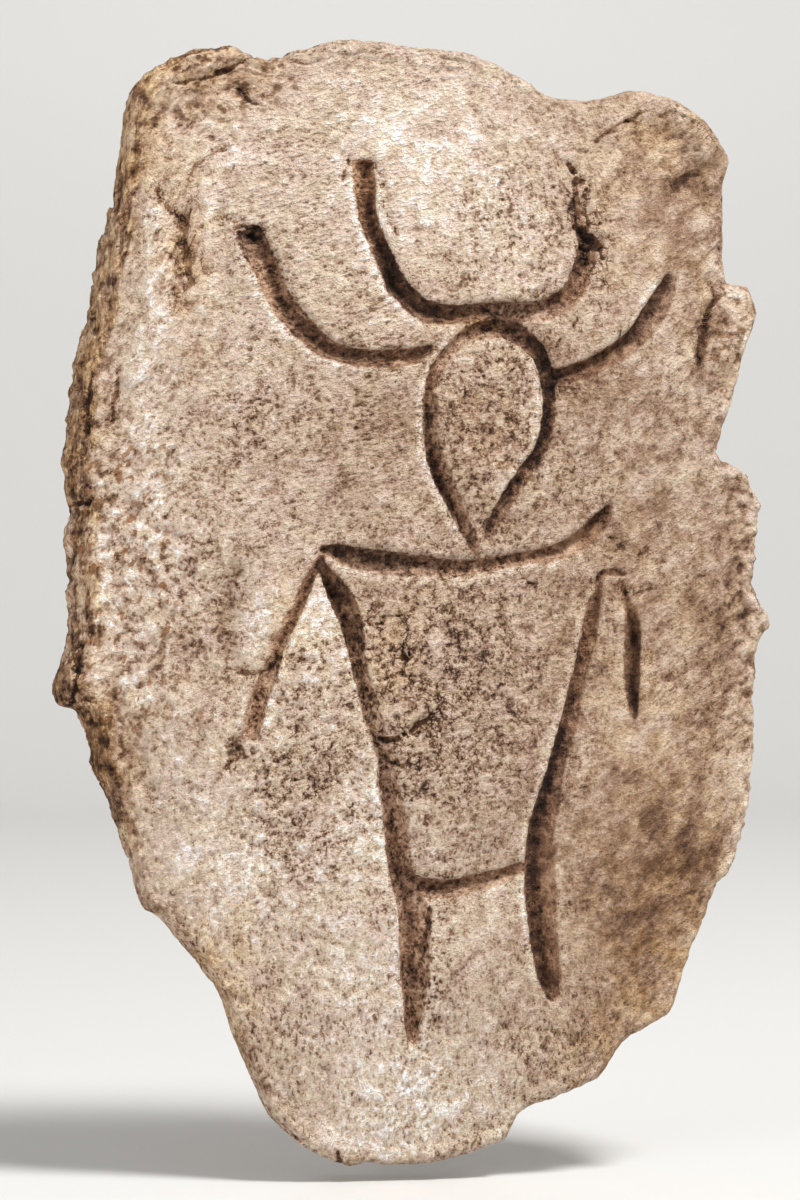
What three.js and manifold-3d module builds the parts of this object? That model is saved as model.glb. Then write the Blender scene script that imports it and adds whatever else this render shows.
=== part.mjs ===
import * as THREE from 'three';
import { mergeVertices } from 'three/addons/utils/BufferGeometryUtils.js';
import Module from 'manifold-3d';

// Petroglyph wall plaque: one slab with a ragged outline, a gently domed front and a horned
// figure cut into it. Millimetres, +Z up. The front faces -Y. The flat back lies in the plane
// y = 0, and the origin is the middle of the back, where the slab meets the wall.

// Thickness of the slab, and how late its dome falls away towards the rim
const CENTRE_THICKNESS = 23;
const RIM_THICKNESS = 13;
const DOME_POWER = 2.6;

// The side wall: how far the front rim and the back edge lie inside the widest line, which
// runs round the slab a little off the wall
const FRONT_INSET = 2.5;
const LEFT_BREAK_INSET = 6.5;
const BACK_INSET = 1.5;
const WIDEST_LINE_DEPTH = 5;
const SHOULDER_DEPTH = 9;
const SHOULDER_SHARE = 0.35;

// The grooves: mouth over drawn width, depth over drawn width, and how narrow an end is
const GROOVE_MOUTH = 1.15;
const GROOVE_DEPTH = 0.62;
const GROOVE_END = 0.6;

// The cutters of the grooves: height above the front, flare there, step and sides of the floor
const CUTTER_RISE = 2.5;
const CUTTER_FLARE = 1.35;
const CUTTER_STEP = 3.8;
const FLOOR_SIDES = 5;

// Cells of the grid that covers the front
const COLUMNS = 34;
const ROWS = 50;

// The outline seen from the front, clockwise from the top left corner: [x, z]
const OUTLINE = [
  [-61.5, 107.5], [-57, 112], [-50, 116], [-39.5, 117.5], [-32, 115], [-20.5, 118.5],
  [-14.5, 119.5], [-2, 119], [14.5, 116.5], [25, 111], [29.5, 108.5], [37.5, 108],
  [46.5, 110.5], [54, 109.5], [63, 104], [68, 96.5], [66.5, 90], [67, 70], [72.5, 68.5],
  [74.5, 63], [72, 57], [69.5, 47], [65, 33], [71.5, 28], [75, 21], [73.5, 4], [77, -3.5],
  [74.5, -10], [73.5, -29.5], [72.5, -43], [69.5, -55.5], [65, -61.5], [59.5, -74.5],
  [55, -88], [44.5, -94.5], [39, -102], [22, -109], [18, -115.5], [1, -119.5],
  [-10.5, -119], [-16, -119.5], [-24.5, -115], [-31.5, -108.5], [-38, -94.5], [-42.5, -82],
  [-54.5, -66.5], [-58.5, -64], [-61.5, -53.5], [-68.5, -35], [-72, -23], [-76, -21],
  [-77, -18], [-73.5, -5.5], [-74.5, 11], [-73.5, 18.5], [-75, 28], [-73, 48], [-70, 60.5],
  [-67.5, 75.5], [-64, 87.5],
];

// The figure's grooves: [x, z, width] along each one
const GROOVES = {
  leftOuterHorn: [
    [-37, 78, 5], [-31, 65, 4.8], [-24, 54.5, 4.2], [-19, 52.5, 3.8], [-11.5, 52.5, 2.7],
    [1, 54.5, 1.8],
  ],
  innerHorns: [
    [-13, 92.5, 4.5], [-12.5, 84.5, 4.2], [-7.5, 71.5, 4.2], [0, 61.5, 4], [5, 60.5, 3.8],
    [17, 62, 3.2], [24, 62.5, 3.4], [30, 64.5, 3.2], [32.5, 69.5, 3.2], [33.5, 76.5, 3.8],
    [32, 83.5, 2.4], [31, 93.5, 1.4],
  ],
  rightOuterHorn: [
    [52.5, 71, 1.8], [49, 62.5, 3.4], [42, 55.5, 3.2], [36.5, 51.5, 3], [27.5, 48.5, 2.4],
  ],
  head: [
    [13.5, 14.5, 2], [16.5, 20.5, 3], [24, 33.5, 2.4], [26, 42.5, 2.2], [25.5, 51, 3.2],
    [20, 57, 3.6], [15.5, 58, 3], [6.5, 55.5, 2.2], [1.5, 46, 2.2], [0.5, 39, 2.6],
    [3, 27.5, 3], [7.5, 17, 3], [9.5, 10, 1.8],
  ],
  shoulders: [
    [-21.5, 11.5, 2], [-17.5, 9.5, 3.4], [-8.5, 8.5, 3.8], [0.5, 7.5, 3.4], [10, 7, 2.8],
    [19, 8.5, 3.2], [28.5, 11.5, 3], [37, 17.5, 2.2], [39.5, 20.5, 1.4],
  ],
  leftArm: [
    [-21.5, 11.5, 2], [-25, 7, 3], [-29.5, -5.5, 3], [-35, -18.5, 3.4], [-38, -28, 3.6],
    [-40, -32.5, 3],
  ],
  leftSideAndLeg: [
    [-21.5, 10.5, 2.5], [-19, 2, 3.8], [-15.5, -7.5, 3.4], [-13.5, -17, 2.6],
    [-9.5, -27, 3.2], [-8.5, -33, 3.2], [-6, -48, 4], [-5, -59, 4.5], [-2.5, -71, 6],
    [-3, -83.5, 4.6], [-2.5, -92.5, 2],
  ],
  rightSideAndLeg: [
    [37, 6, 1.8], [34.5, -5.5, 2.6], [30.5, -22, 2.6], [26, -39, 3.8], [24.5, -46, 5],
    [24.5, -58, 6], [25, -71, 5.2], [26.5, -80.5, 3.6], [27, -83, 2.2],
  ],
  rightShoulderHook: [[36.5, 5.5, 1.6], [39, 6.5, 1.4], [43.5, 6.5, 1.4]],
  rightArm: [
    [42, 4, 1.4], [43, -1.5, 1.8], [45, -9, 2.8], [44.5, -20.5, 1.8], [45, -23.5, 1.4],
  ],
  waist: [
    [-6.5, -56, 3], [-2.5, -58.5, 3.8], [3.5, -59.5, 3.6], [10, -58.5, 3.4],
    [20.5, -54.5, 2],
  ],
};

// Soft rises and hollows of the front: middle, half width, half height and how high. Each is
// level up to SWELL_TOP of its size, and all fade out just inside the rim.
const SWELL_TOP = 0.45;
const SWELL_FADE_POWER = 8;
const SWELLS = [
  { name: 'head pebble', x: 13.5, z: 38, width: 15, height: 22, rise: 1.4 },
  { name: 'torso', x: 8, z: -25, width: 27, height: 36, rise: 1.6 },
  { name: 'thighs', x: 11, z: -74, width: 15, height: 20, rise: 0.8 },
  { name: 'top left lump', x: -45, z: 110, width: 17, height: 9, rise: 2.4 },
  { name: 'top right roll', x: 52, z: 103, width: 17, height: 10, rise: 2.8 },
  { name: 'right flake', x: 70, z: 60, width: 8, height: 12, rise: 1.8 },
  { name: 'hollow beside the left arm', x: -42, z: -7, width: 12, height: 20, rise: -1.2 },
  { name: 'hollow under the top left lump', x: -47, z: 70, width: 8, height: 24, rise: -1 },
];

// The outline as a radius for each direction from the origin
const OUTLINE_SAMPLES = 480;
const outlineCurve = new THREE.CatmullRomCurve3(
  OUTLINE.map(([x, z]) => new THREE.Vector3(x, 0, z)), true, 'catmullrom', 0.25,
);
const outlinePolar = outlineCurve
  .getPoints(OUTLINE_SAMPLES)
  .slice(1)
  .map((point) => ({ angle: Math.atan2(point.z, point.x), radius: Math.hypot(point.x, point.z) }))
  .sort((a, b) => a.angle - b.angle);

function outlineRadius(direction) {
  const turn = 2 * Math.PI;
  const angle = THREE.MathUtils.euclideanModulo(direction + Math.PI, turn) - Math.PI;
  const last = outlinePolar.length - 1;
  let after = outlinePolar.findIndex((sample) => sample.angle > angle);
  if (after < 0) after = 0;
  const a = outlinePolar[after === 0 ? last : after - 1];
  const b = outlinePolar[after];
  const span = (b.angle - a.angle + turn) % turn;
  const share = span > 0 ? ((angle - a.angle + turn) % turn) / span : 0;
  return a.radius + (b.radius - a.radius) * share;
}

// The same radius with its nicks evened out, for the dome of the front
const EVENING_ANGLE = THREE.MathUtils.degToRad(14);
const EVENING_STEPS = 5;

function evenRadius(angle) {
  let sum = 0;
  for (let step = -EVENING_STEPS; step <= EVENING_STEPS; step += 1) {
    sum += outlineRadius(angle + (EVENING_ANGLE * step) / EVENING_STEPS);
  }
  return sum / (2 * EVENING_STEPS + 1);
}

// The left side is broken back further than the rest
function frontInset(angle) {
  const towardsLeft = Math.max(0, -Math.cos(angle)) ** 2;
  const towardsLowerLeft = THREE.MathUtils.smoothstep(Math.sin(angle), -0.75, -0.2);
  return FRONT_INSET + (LEFT_BREAK_INSET - FRONT_INSET) * towardsLeft * towardsLowerLeft;
}

// How far the front stands off the wall at a place on it
function thickness(x, z) {
  const angle = Math.atan2(z, x);
  const reach = Math.min(1, Math.hypot(x, z) / (evenRadius(angle) - frontInset(angle)));
  const dome = 1 - reach ** DOME_POWER;
  let swell = 0;
  for (const { x: cx, z: cz, width, height, rise } of SWELLS) {
    const away = Math.hypot((x - cx) / width, (z - cz) / height);
    swell += rise * (1 - THREE.MathUtils.smoothstep(away, SWELL_TOP, 1));
  }
  const fade = 1 - reach ** SWELL_FADE_POWER;
  return RIM_THICKNESS + (CENTRE_THICKNESS - RIM_THICKNESS) * dome + swell * fade;
}

// Place on the front for a place in a square from -1 to 1: the square is rounded to a disc,
// and the disc is stretched to the front rim
const DISC_WIDTH = 77;
const DISC_HEIGHT = 120;

function frontPlace(across, up) {
  const discX = across * Math.sqrt(1 - (up * up) / 2);
  const discZ = up * Math.sqrt(1 - (across * across) / 2);
  const reach = Math.min(1, Math.hypot(discX, discZ));
  const angle = Math.atan2(discZ * DISC_HEIGHT, discX * DISC_WIDTH);
  const radius = reach * (outlineRadius(angle) - frontInset(angle));
  const x = radius * Math.cos(angle);
  const z = radius * Math.sin(angle);
  return { x, z, angle, y: -thickness(x, z) };
}

// Evenly counted cells, packed closer towards the rim
const RIM_PACKING = 0.82;
const spread = (share) => Math.sin((share - 0.5) * Math.PI * RIM_PACKING)
  / Math.sin(0.5 * Math.PI * RIM_PACKING);

function closedGeometry(positions, faces) {
  const geometry = new THREE.BufferGeometry();
  geometry.setAttribute('position', new THREE.Float32BufferAttribute(positions.flat(), 3));
  geometry.setIndex(faces.flat());
  return geometry;
}

// The slab without its grooves: a front grid, a side wall in three steps and a flat back
function makeSlabGeometry() {
  const positions = [];
  const faces = [];
  const angles = [];
  for (let row = 0; row <= ROWS; row += 1) {
    for (let column = 0; column <= COLUMNS; column += 1) {
      const place = frontPlace(spread(column / COLUMNS), spread(row / ROWS));
      positions.push([place.x, place.y, place.z]);
      angles.push(place.angle);
    }
  }
  const gridAt = (column, row) => row * (COLUMNS + 1) + column;
  for (let row = 0; row < ROWS; row += 1) {
    for (let column = 0; column < COLUMNS; column += 1) {
      const [a, b] = [gridAt(column, row), gridAt(column + 1, row)];
      const [c, d] = [gridAt(column + 1, row + 1), gridAt(column, row + 1)];
      // The diagonal turns from quarter to quarter, so that no corner cell folds flat
      const sameSide = (column < COLUMNS / 2) === (row < ROWS / 2);
      if (sameSide) faces.push([a, b, c], [a, c, d]);
      else faces.push([a, b, d], [b, c, d]);
    }
  }

  // The front rim, anticlockwise from the bottom left of the grid
  const rim = [];
  for (let column = 0; column < COLUMNS; column += 1) rim.push(gridAt(column, 0));
  for (let row = 0; row < ROWS; row += 1) rim.push(gridAt(COLUMNS, row));
  for (let column = COLUMNS; column > 0; column -= 1) rim.push(gridAt(column, ROWS));
  for (let row = ROWS; row > 0; row -= 1) rim.push(gridAt(0, row));

  // The rings behind it, each with its inset from the widest line and its distance off the wall
  const ringAt = (insetAt, depth) => rim.map((index) => {
    const angle = angles[index];
    const radius = outlineRadius(angle) - insetAt(angle);
    positions.push([radius * Math.cos(angle), -depth, radius * Math.sin(angle)]);
    return positions.length - 1;
  });
  const rings = [
    rim,
    ringAt((angle) => SHOULDER_SHARE * frontInset(angle), SHOULDER_DEPTH),
    ringAt(() => 0, WIDEST_LINE_DEPTH),
    ringAt(() => BACK_INSET, 0),
  ];
  for (let step = 0; step < rings.length - 1; step += 1) {
    const [near, far] = [rings[step], rings[step + 1]];
    for (let index = 0; index < rim.length; index += 1) {
      const next = (index + 1) % rim.length;
      faces.push([near[index], far[index], far[next]], [near[index], far[next], near[next]]);
    }
  }

  const back = rings[rings.length - 1];
  const backLoop = back.map((index) => new THREE.Vector2(positions[index][0], positions[index][2]));
  for (const [a, b, c] of THREE.ShapeUtils.triangulateShape(backLoop, [])) {
    faces.push([back[a], back[c], back[b]]);
  }
  return closedGeometry(positions, faces);
}

// A groove's cutter: a round-bottomed section carried along the groove, narrowed at both ends
function makeCutterGeometry(points) {
  // The width rides along as the path's second coordinate
  const path = new THREE.CatmullRomCurve3(
    points.map(([x, z, width]) => new THREE.Vector3(x, width, z)), false, 'centripetal',
  );
  const length = path.getLength();
  const steps = Math.round(length / CUTTER_STEP);
  const positions = [];
  for (let step = 0; step <= steps; step += 1) {
    const share = step / steps;
    const { x, y: width, z } = path.getPointAt(share);
    const heading = path.getTangentAt(share).setY(0).normalize();
    const fromEnd = Math.min(share, 1 - share) * length;
    const size = width * (GROOVE_END + (1 - GROOVE_END) * Math.sqrt(Math.min(1, fromEnd / width)));
    const halfWidth = 0.5 * GROOVE_MOUTH * size;
    const section = [[-halfWidth * CUTTER_FLARE, -CUTTER_RISE]];
    for (let side = 0; side <= FLOOR_SIDES; side += 1) {
      const turn = Math.PI * (side / FLOOR_SIDES);
      section.push([-halfWidth * Math.cos(turn), GROOVE_DEPTH * size * Math.sin(turn)]);
    }
    section.push([halfWidth * CUTTER_FLARE, -CUTTER_RISE]);
    const surface = -thickness(x, z);
    for (const [sideways, inwards] of section) {
      positions.push([x + heading.z * sideways, surface + inwards, z - heading.x * sideways]);
    }
  }

  const faces = [];
  const sides = FLOOR_SIDES + 3;
  for (let step = 0; step < steps; step += 1) {
    for (let side = 0; side < sides; side += 1) {
      const next = (side + 1) % sides;
      const [a, b] = [step * sides + side, step * sides + next];
      const [c, d] = [a + sides, b + sides];
      faces.push([a, c, b], [b, c, d]);
    }
  }
  const last = steps * sides;
  for (let side = 1; side < sides - 1; side += 1) {
    faces.push([0, side, side + 1], [last, last + side + 1, last + side]);
  }
  return closedGeometry(positions, faces);
}

const wasm = await Module();
wasm.setup();

const WELD_DISTANCE = 1e-3;

function toSolid(geometry) {
  const merged = mergeVertices(geometry, WELD_DISTANCE);
  return new wasm.Manifold(new wasm.Mesh({
    numProp: 3,
    vertProperties: merged.attributes.position.array,
    triVerts: new Uint32Array(merged.index.array),
  }));
}

function toGeometry(solid) {
  const mesh = solid.getMesh();
  const geometry = new THREE.BufferGeometry();
  geometry.setAttribute('position', new THREE.BufferAttribute(mesh.vertProperties, 3));
  geometry.setIndex(new THREE.BufferAttribute(mesh.triVerts, 1));
  geometry.computeVertexNormals();
  return geometry;
}

function makeSlab() {
  let solid = toSolid(makeSlabGeometry());
  for (const points of Object.values(GROOVES)) {
    solid = solid.subtract(toSolid(makeCutterGeometry(points)));
  }
  const stone = new THREE.MeshStandardMaterial({ color: 0xb89b7c, roughness: 0.9, metalness: 0 });
  const slab = new THREE.Mesh(toGeometry(solid), stone);
  slab.name = 'plaque_slab';
  return slab;
}

const plaque = new THREE.Group();
plaque.add(makeSlab());

export default plaque;
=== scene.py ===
# %% [markdown]
# # A petroglyph wall plaque
# The real object is one slab of stone-coloured, hand-shaped material, 240 mm tall, with a
# domed front, a torn rim and a horned figure pressed into it as grooves. Its surface is all
# there is to look at, so this lesson spends its cells on relief and on paint. The CAD model
# gives the frame: it says where the slab is and how big it may be.

import bpy
import numpy as np
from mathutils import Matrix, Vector


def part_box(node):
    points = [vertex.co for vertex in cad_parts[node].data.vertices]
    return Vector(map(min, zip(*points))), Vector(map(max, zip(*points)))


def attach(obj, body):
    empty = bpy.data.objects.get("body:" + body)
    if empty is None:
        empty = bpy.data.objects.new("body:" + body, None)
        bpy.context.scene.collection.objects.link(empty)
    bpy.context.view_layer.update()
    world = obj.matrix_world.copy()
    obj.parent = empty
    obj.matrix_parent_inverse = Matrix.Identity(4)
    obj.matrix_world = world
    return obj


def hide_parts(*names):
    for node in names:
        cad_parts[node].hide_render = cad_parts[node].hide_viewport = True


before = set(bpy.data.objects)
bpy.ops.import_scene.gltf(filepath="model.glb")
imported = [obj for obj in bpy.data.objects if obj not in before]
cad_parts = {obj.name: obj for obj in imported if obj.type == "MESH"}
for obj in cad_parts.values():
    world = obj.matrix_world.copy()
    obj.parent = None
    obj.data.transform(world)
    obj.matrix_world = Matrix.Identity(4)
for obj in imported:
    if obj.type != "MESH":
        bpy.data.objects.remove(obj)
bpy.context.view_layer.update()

MM = 0.001
slab_low, slab_high = [np.array(corner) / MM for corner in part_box("plaque_slab")]
print("CAD slab in mm:", np.round(slab_low, 1), "to", np.round(slab_high, 1))

# %% [markdown]
# ## The camera
# The slab is seen from a little to its left and level with its middle, so its left side wall
# shows. A camera can be placed by eye, or by turning back from a target: here it stands at a
# distance along a direction from the point it aims at, which keeps the target framed whatever
# the direction is.

# %% Camera
# The turn to the left and the distance and aim in mm, then the lens and the sensor's width
CAMERA_TURN = np.radians(-9.0)
CAMERA_DISTANCE = 783.0
CAMERA_AIM = np.array([-3.4, -6.5, 0.8])
CAMERA_LENS = 110.0
CAMERA_SENSOR = 36.0

away = np.array([np.sin(CAMERA_TURN), -np.cos(CAMERA_TURN), 0.0])
camera = bpy.data.objects.new("camera", bpy.data.cameras.new("camera"))
camera.data.lens = CAMERA_LENS
camera.data.sensor_width = CAMERA_SENSOR
camera.location = (CAMERA_AIM + CAMERA_DISTANCE * away) * MM
camera.rotation_euler = Vector(-away).to_track_quat("-Z", "Y").to_euler()
bpy.context.scene.collection.objects.link(camera)
bpy.context.scene.camera = camera
print("camera at", np.round(camera.location, 3))

# %% [markdown]
# ## Random numbers and noise
# Weathered stone needs irregularity at every size. Blender has noise textures for materials,
# but relief that is worked out in numpy needs noise there too. A hash of whole-number cells
# gives random numbers that are the same in each run, and a classic gradient noise is built on
# it, for lumps, crumbs and ragged edges.

# %% Noise
# Widens the blended slopes to about -1..1
SLOPE_GAIN = 1.5


def cell_numbers(cells, seed, count):
    """Repeatable random numbers in 0..1, `count` for each whole-number cell: the cell's place is
    multiplied by large odd numbers, and the product is shifted and mixed with itself."""
    mask = 0xFFFFFFFF
    mixed = cells[..., 0] * 73856093 ^ cells[..., 1] * 19349663 ^ cells[..., 2] * 83492791
    mixed = (mixed ^ seed * 40503) & mask
    numbers = []
    for _ in range(count):
        mixed = ((mixed ^ mixed >> 16) * 0x45D9F3B) & mask
        mixed = ((mixed ^ mixed >> 13) * 0x119DE1F3) & mask
        mixed = mixed ^ mixed >> 16
        numbers.append(mixed / mask)
    return np.stack(numbers, axis=-1)


def soft_noise(points, seed):
    """Gradient noise, about -1..1, with features a unit or so across: each corner of the unit
    cell round a point holds a random slope, which is followed to the point, and the eight
    values are blended by 6t^5 - 15t^4 + 10t^3 along each axis."""
    base = np.floor(points).astype(np.int64)
    part = points - base
    fade = part**3 * (part * (part * 6 - 15) + 10)
    total = np.zeros(points.shape[:-1])
    for corner in np.ndindex(2, 2, 2):
        slope = cell_numbers(base + corner, seed, 3) * 2 - 1
        weight = np.prod(np.where(corner, fade, 1 - fade), axis=-1)
        total += weight * np.sum(slope * (part - corner), axis=-1)
    return total * SLOPE_GAIN


def rough_noise(points, seed, layers=3, gain=0.5):
    """Layers of soft noise, each twice as fine and `gain` times as high as the one before."""
    total = np.zeros(points.shape[:-1])
    for layer in range(layers):
        total += gain**layer * soft_noise(points * 2**layer, seed + layer)
    return total


def ease(low, high, value):
    """0 below low, 1 above high, and 3t^2 - 2t^3 between them."""
    share = np.clip((value - low) / (high - low), 0, 1)
    return share * share * (3 - 2 * share)


trial = soft_noise(0.37 * np.arange(6000).reshape(-1, 3), 1)
print("soft noise runs from", np.round(trial.min(), 2), "to", np.round(trial.max(), 2))

# %% [markdown]
# ## The outline
# Seen from the front the slab is a torn oval. Its outline could be drawn with a Bezier curve;
# here it is a few dozen points, joined by a Catmull-Rom curve and read as a radius for each
# direction from the middle, because a radius is easy to roughen and to shrink inwards.

# %% Outline
# Points round the outline, x and z in mm, from the top left clockwise
OUTLINE = [
    (-61.5, 107.5), (-57, 112), (-50, 116), (-39.5, 117.5), (-32, 115), (-20.5, 118.5),
    (-14.5, 119.5), (-2, 119), (14.5, 116.5), (25, 111), (29.5, 108.5), (37.5, 108),
    (46.5, 110.5), (54, 109.5), (63, 104), (68, 96.5), (66.5, 90), (67, 70), (72.5, 68.5),
    (74.5, 63), (72, 57), (69.5, 47), (65, 33), (71.5, 28), (75, 21), (73.5, 4), (77, -3.5),
    (74.5, -10), (73.5, -29.5), (72.5, -43), (69.5, -55.5), (65, -61.5), (59.5, -74.5),
    (55, -88), (44.5, -94.5), (39, -102), (22, -109), (18, -115.5), (1, -119.5),
    (-10.5, -119), (-16, -119.5), (-24.5, -115), (-31.5, -108.5), (-38, -94.5), (-42.5, -82),
    (-54.5, -66.5), (-58.5, -64), (-61.5, -53.5), (-68.5, -35), (-72, -23), (-76, -21),
    (-77, -18), (-73.5, -5.5), (-74.5, 11), (-73.5, 18.5), (-75, 28), (-73, 48), (-70, 60.5),
    (-67.5, 75.5), (-64, 87.5),
]
OUTLINE_SAMPLES = 8
OUTLINE_PULL = 0.25
FULL_TURN = 2 * np.pi


def smooth_path(points, samples, pull=0.5, closed=False):
    """A Catmull-Rom curve: between two points runs a cubic whose slope at each point is `pull`
    times the step from the point before it to the one after it."""
    points = np.array(points, float)
    if closed:
        before, after = np.roll(points, 1, axis=0), np.roll(points, -1, axis=0)
    else:
        before = np.vstack([2 * points[:1] - points[1:2], points[:-1]])
        after = np.vstack([points[1:], 2 * points[-1:] - points[-2:-1]])
    slope = pull * (after - before)
    spans = len(points) if closed else len(points) - 1
    start, end = points[:spans, None], np.roll(points, -1, axis=0)[:spans, None]
    leave, arrive = slope[:spans, None], np.roll(slope, -1, axis=0)[:spans, None]
    t = (np.arange(samples) / samples)[None, :, None]
    curve = ((2 * t**3 - 3 * t**2 + 1) * start + (t**3 - 2 * t**2 + t) * leave
             + (3 * t**2 - 2 * t**3) * end + (t**3 - t**2) * arrive)
    curve = curve.reshape(-1, points.shape[1])
    return curve if closed else np.vstack([curve, points[-1:]])


outline_curve = smooth_path(OUTLINE, OUTLINE_SAMPLES, OUTLINE_PULL, closed=True)
outline_angles = np.arctan2(outline_curve[:, 1], outline_curve[:, 0])
outline_radii = np.hypot(outline_curve[:, 0], outline_curve[:, 1])


def outline_radius(angle):
    """Distance from the middle to the outline in a direction, straight between the curve's points."""
    return np.interp(angle, outline_angles, outline_radii, period=FULL_TURN)


def even_radius(angle, spread=np.radians(14), steps=5):
    """The outline's radius with its nicks evened out: the mean over a spread to either side."""
    offsets = np.linspace(-spread, spread, 2 * steps + 1)
    return np.mean([outline_radius(angle + offset) for offset in offsets], axis=0)


print("outline:", len(outline_curve), "points, radius", np.round(outline_radii.min(), 1), "to",
      np.round(outline_radii.max(), 1), "mm")

# %% [markdown]
# ## The domed front
# The front swells from a thin rim to a thick middle, with a few soft lumps on it. It could be
# sculpted by hand. A formula is easier to tune and always fits the CAD solid, because both use
# the same named sizes.

# %% Dome and lumps
CENTRE_THICKNESS = 23.0
RIM_THICKNESS = 13.0
DOME_POWER = 2.6
# How far the front's rim lies inside the outline, also where the left is torn back, and the sines
# of the directions between which that tear begins
FRONT_INSET = 2.5
LEFT_BREAK_INSET = 6.5
LEFT_BREAK_START = (-0.75, -0.2)

# Middle, half width, half height and rise of each lump or hollow
SWELLS = {
    "head pebble": (13.5, 38, 15, 22, 1.4),
    "torso": (8, -25, 27, 36, 1.6),
    "thighs": (11, -74, 15, 20, 0.8),
    "top left lump": (-45, 110, 17, 9, 2.4),
    "top right roll": (52, 103, 17, 10, 2.8),
    "right flake": (70, 60, 8, 12, 1.8),
    "hollow beside the left arm": (-42, -7, 12, 20, -1.2),
    "hollow under the top left lump": (-47, 70, 8, 24, -1.0),
}
SWELL_TOP = 0.45
SWELL_FADE_POWER = 8


def front_inset(angle):
    """How far the front's rim lies inside the outline: more on the left, where it is torn back."""
    left = np.maximum(0, -np.cos(angle)) ** 2
    more = (LEFT_BREAK_INSET - FRONT_INSET) * left
    return FRONT_INSET + more * ease(*LEFT_BREAK_START, np.sin(angle))


def thickness(x, z):
    """Distance of the front from the wall: the rim's, plus a dome 1 - reach^2.6, plus the lumps,
    which fade out towards the rim."""
    angle = np.arctan2(z, x)
    reach = np.minimum(1, np.hypot(x, z) / (even_radius(angle) - front_inset(angle)))
    swell = 0
    for cx, cz, width, height, rise in SWELLS.values():
        swell = swell + rise * (1 - ease(SWELL_TOP, 1, np.hypot((x - cx) / width, (z - cz) / height)))
    dome = (CENTRE_THICKNESS - RIM_THICKNESS) * (1 - reach**DOME_POWER)
    return RIM_THICKNESS + dome + swell * (1 - reach**SWELL_FADE_POWER)


print("thickness at the middle:", np.round(thickness(np.zeros(1), np.zeros(1))[0], 1), "mm")

# %% [markdown]
# ## One grid for front and side
# A slab like this could be an extruded curve that is remeshed and sculpted. Here it is a single
# sheet: a square grid rounded into a disc and stretched to the outline covers the front, and
# its border is carried round the rim to the back in rings. Every point keeps the direction in
# which the surface faces there, so later cells can raise or sink it.

# %% Sheet
# Squares across and up the front
COLUMNS = 222
ROWS = 338
# The disc's half width and half height in mm, and how much closer its points lie at the rim
DISC_WIDTH = 77.0
DISC_HEIGHT = 120.0
RIM_PACKING = 0.82
# The noise along the rim is read on a circle of this radius
RIM_CIRCLE = 100.0
# Fine and broad crumbs: their size, and how far they push the outline, everywhere and in places
FINE_SIZE = 3.5
FINE_PUSH = 0.18
FINE_RIGHT = 0.4
FINE_TOP_LEFT = 0.25
BROAD_SIZE = 8
BROAD_PUSH = 0.2
BROAD_RIGHT = 0.3
BROAD_LEFT = 0.5
# The push fades out inside the rim with this power of the reach
PUSH_POWER = 8


def spread(count):
    """Numbers from -1 to 1, packed closer towards both ends by a sine."""
    share = np.linspace(-0.5, 0.5, count + 1)
    return np.sin(share * np.pi * RIM_PACKING) / np.sin(0.5 * np.pi * RIM_PACKING)


def facing(angle, direction, low, high):
    """0 to 1 for how nearly an angle has a direction, in degrees from the right: the cosine of the
    angle between them, eased from low to high."""
    return ease(low, high, np.cos(angle - np.radians(direction)))


def ragged_edge(angle):
    """How far torn crumbs push the outline out or in, in mm: fine noise along the edge, strongest on
    the right and at the top left, and broad noise, strongest on the left."""
    place = RIM_CIRCLE * np.stack([np.cos(angle), np.sin(angle), np.zeros_like(angle)], axis=-1)
    right = facing(angle, 0, 0.45, 0.85)
    fine = FINE_PUSH + FINE_RIGHT * right + FINE_TOP_LEFT * facing(angle, 125, 0.3, 0.9)
    broad = BROAD_PUSH + BROAD_RIGHT * right + BROAD_LEFT * facing(angle, 180, 0.7, 1.0)
    return (fine * rough_noise(place / FINE_SIZE, 11, 3, 0.6)
            + broad * rough_noise(place / BROAD_SIZE, 15, 2))


across_share, up_share = np.meshgrid(spread(COLUMNS), spread(ROWS))
disc_x = across_share * np.sqrt(1 - up_share**2 / 2)
disc_z = up_share * np.sqrt(1 - across_share**2 / 2)
grid_angle = np.arctan2(disc_z * DISC_HEIGHT, disc_x * DISC_WIDTH)
grid_reach = np.minimum(1, np.hypot(disc_x, disc_z))
rim_radius = outline_radius(grid_angle) - front_inset(grid_angle)
grid_radius = grid_reach * (rim_radius + ragged_edge(grid_angle) * grid_reach**PUSH_POWER)
front_x = (grid_radius * np.cos(grid_angle)).ravel()
front_z = (grid_radius * np.sin(grid_angle)).ravel()

numbers = np.arange(front_x.size).reshape(ROWS + 1, COLUMNS + 1)
rim = np.concatenate([numbers[0, :-1], numbers[:-1, -1], numbers[-1, :0:-1], numbers[:0:-1, 0]])
rim_angle = grid_angle.ravel()[rim]
print("front grid:", front_x.size, "points; rim:", rim.size, "points")

# %% [markdown]
# ## The figure's grooves
# A horned figure is pressed into the front with a blunt tool. The grooves could be cut with
# booleans, but a boolean leaves knife-sharp edges. Here each groove is a path with a width, and
# every point of the sheet measures how far it lies from it; the depth follows from that
# distance, with the deepest line off to one side where the tool leaned over.

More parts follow.
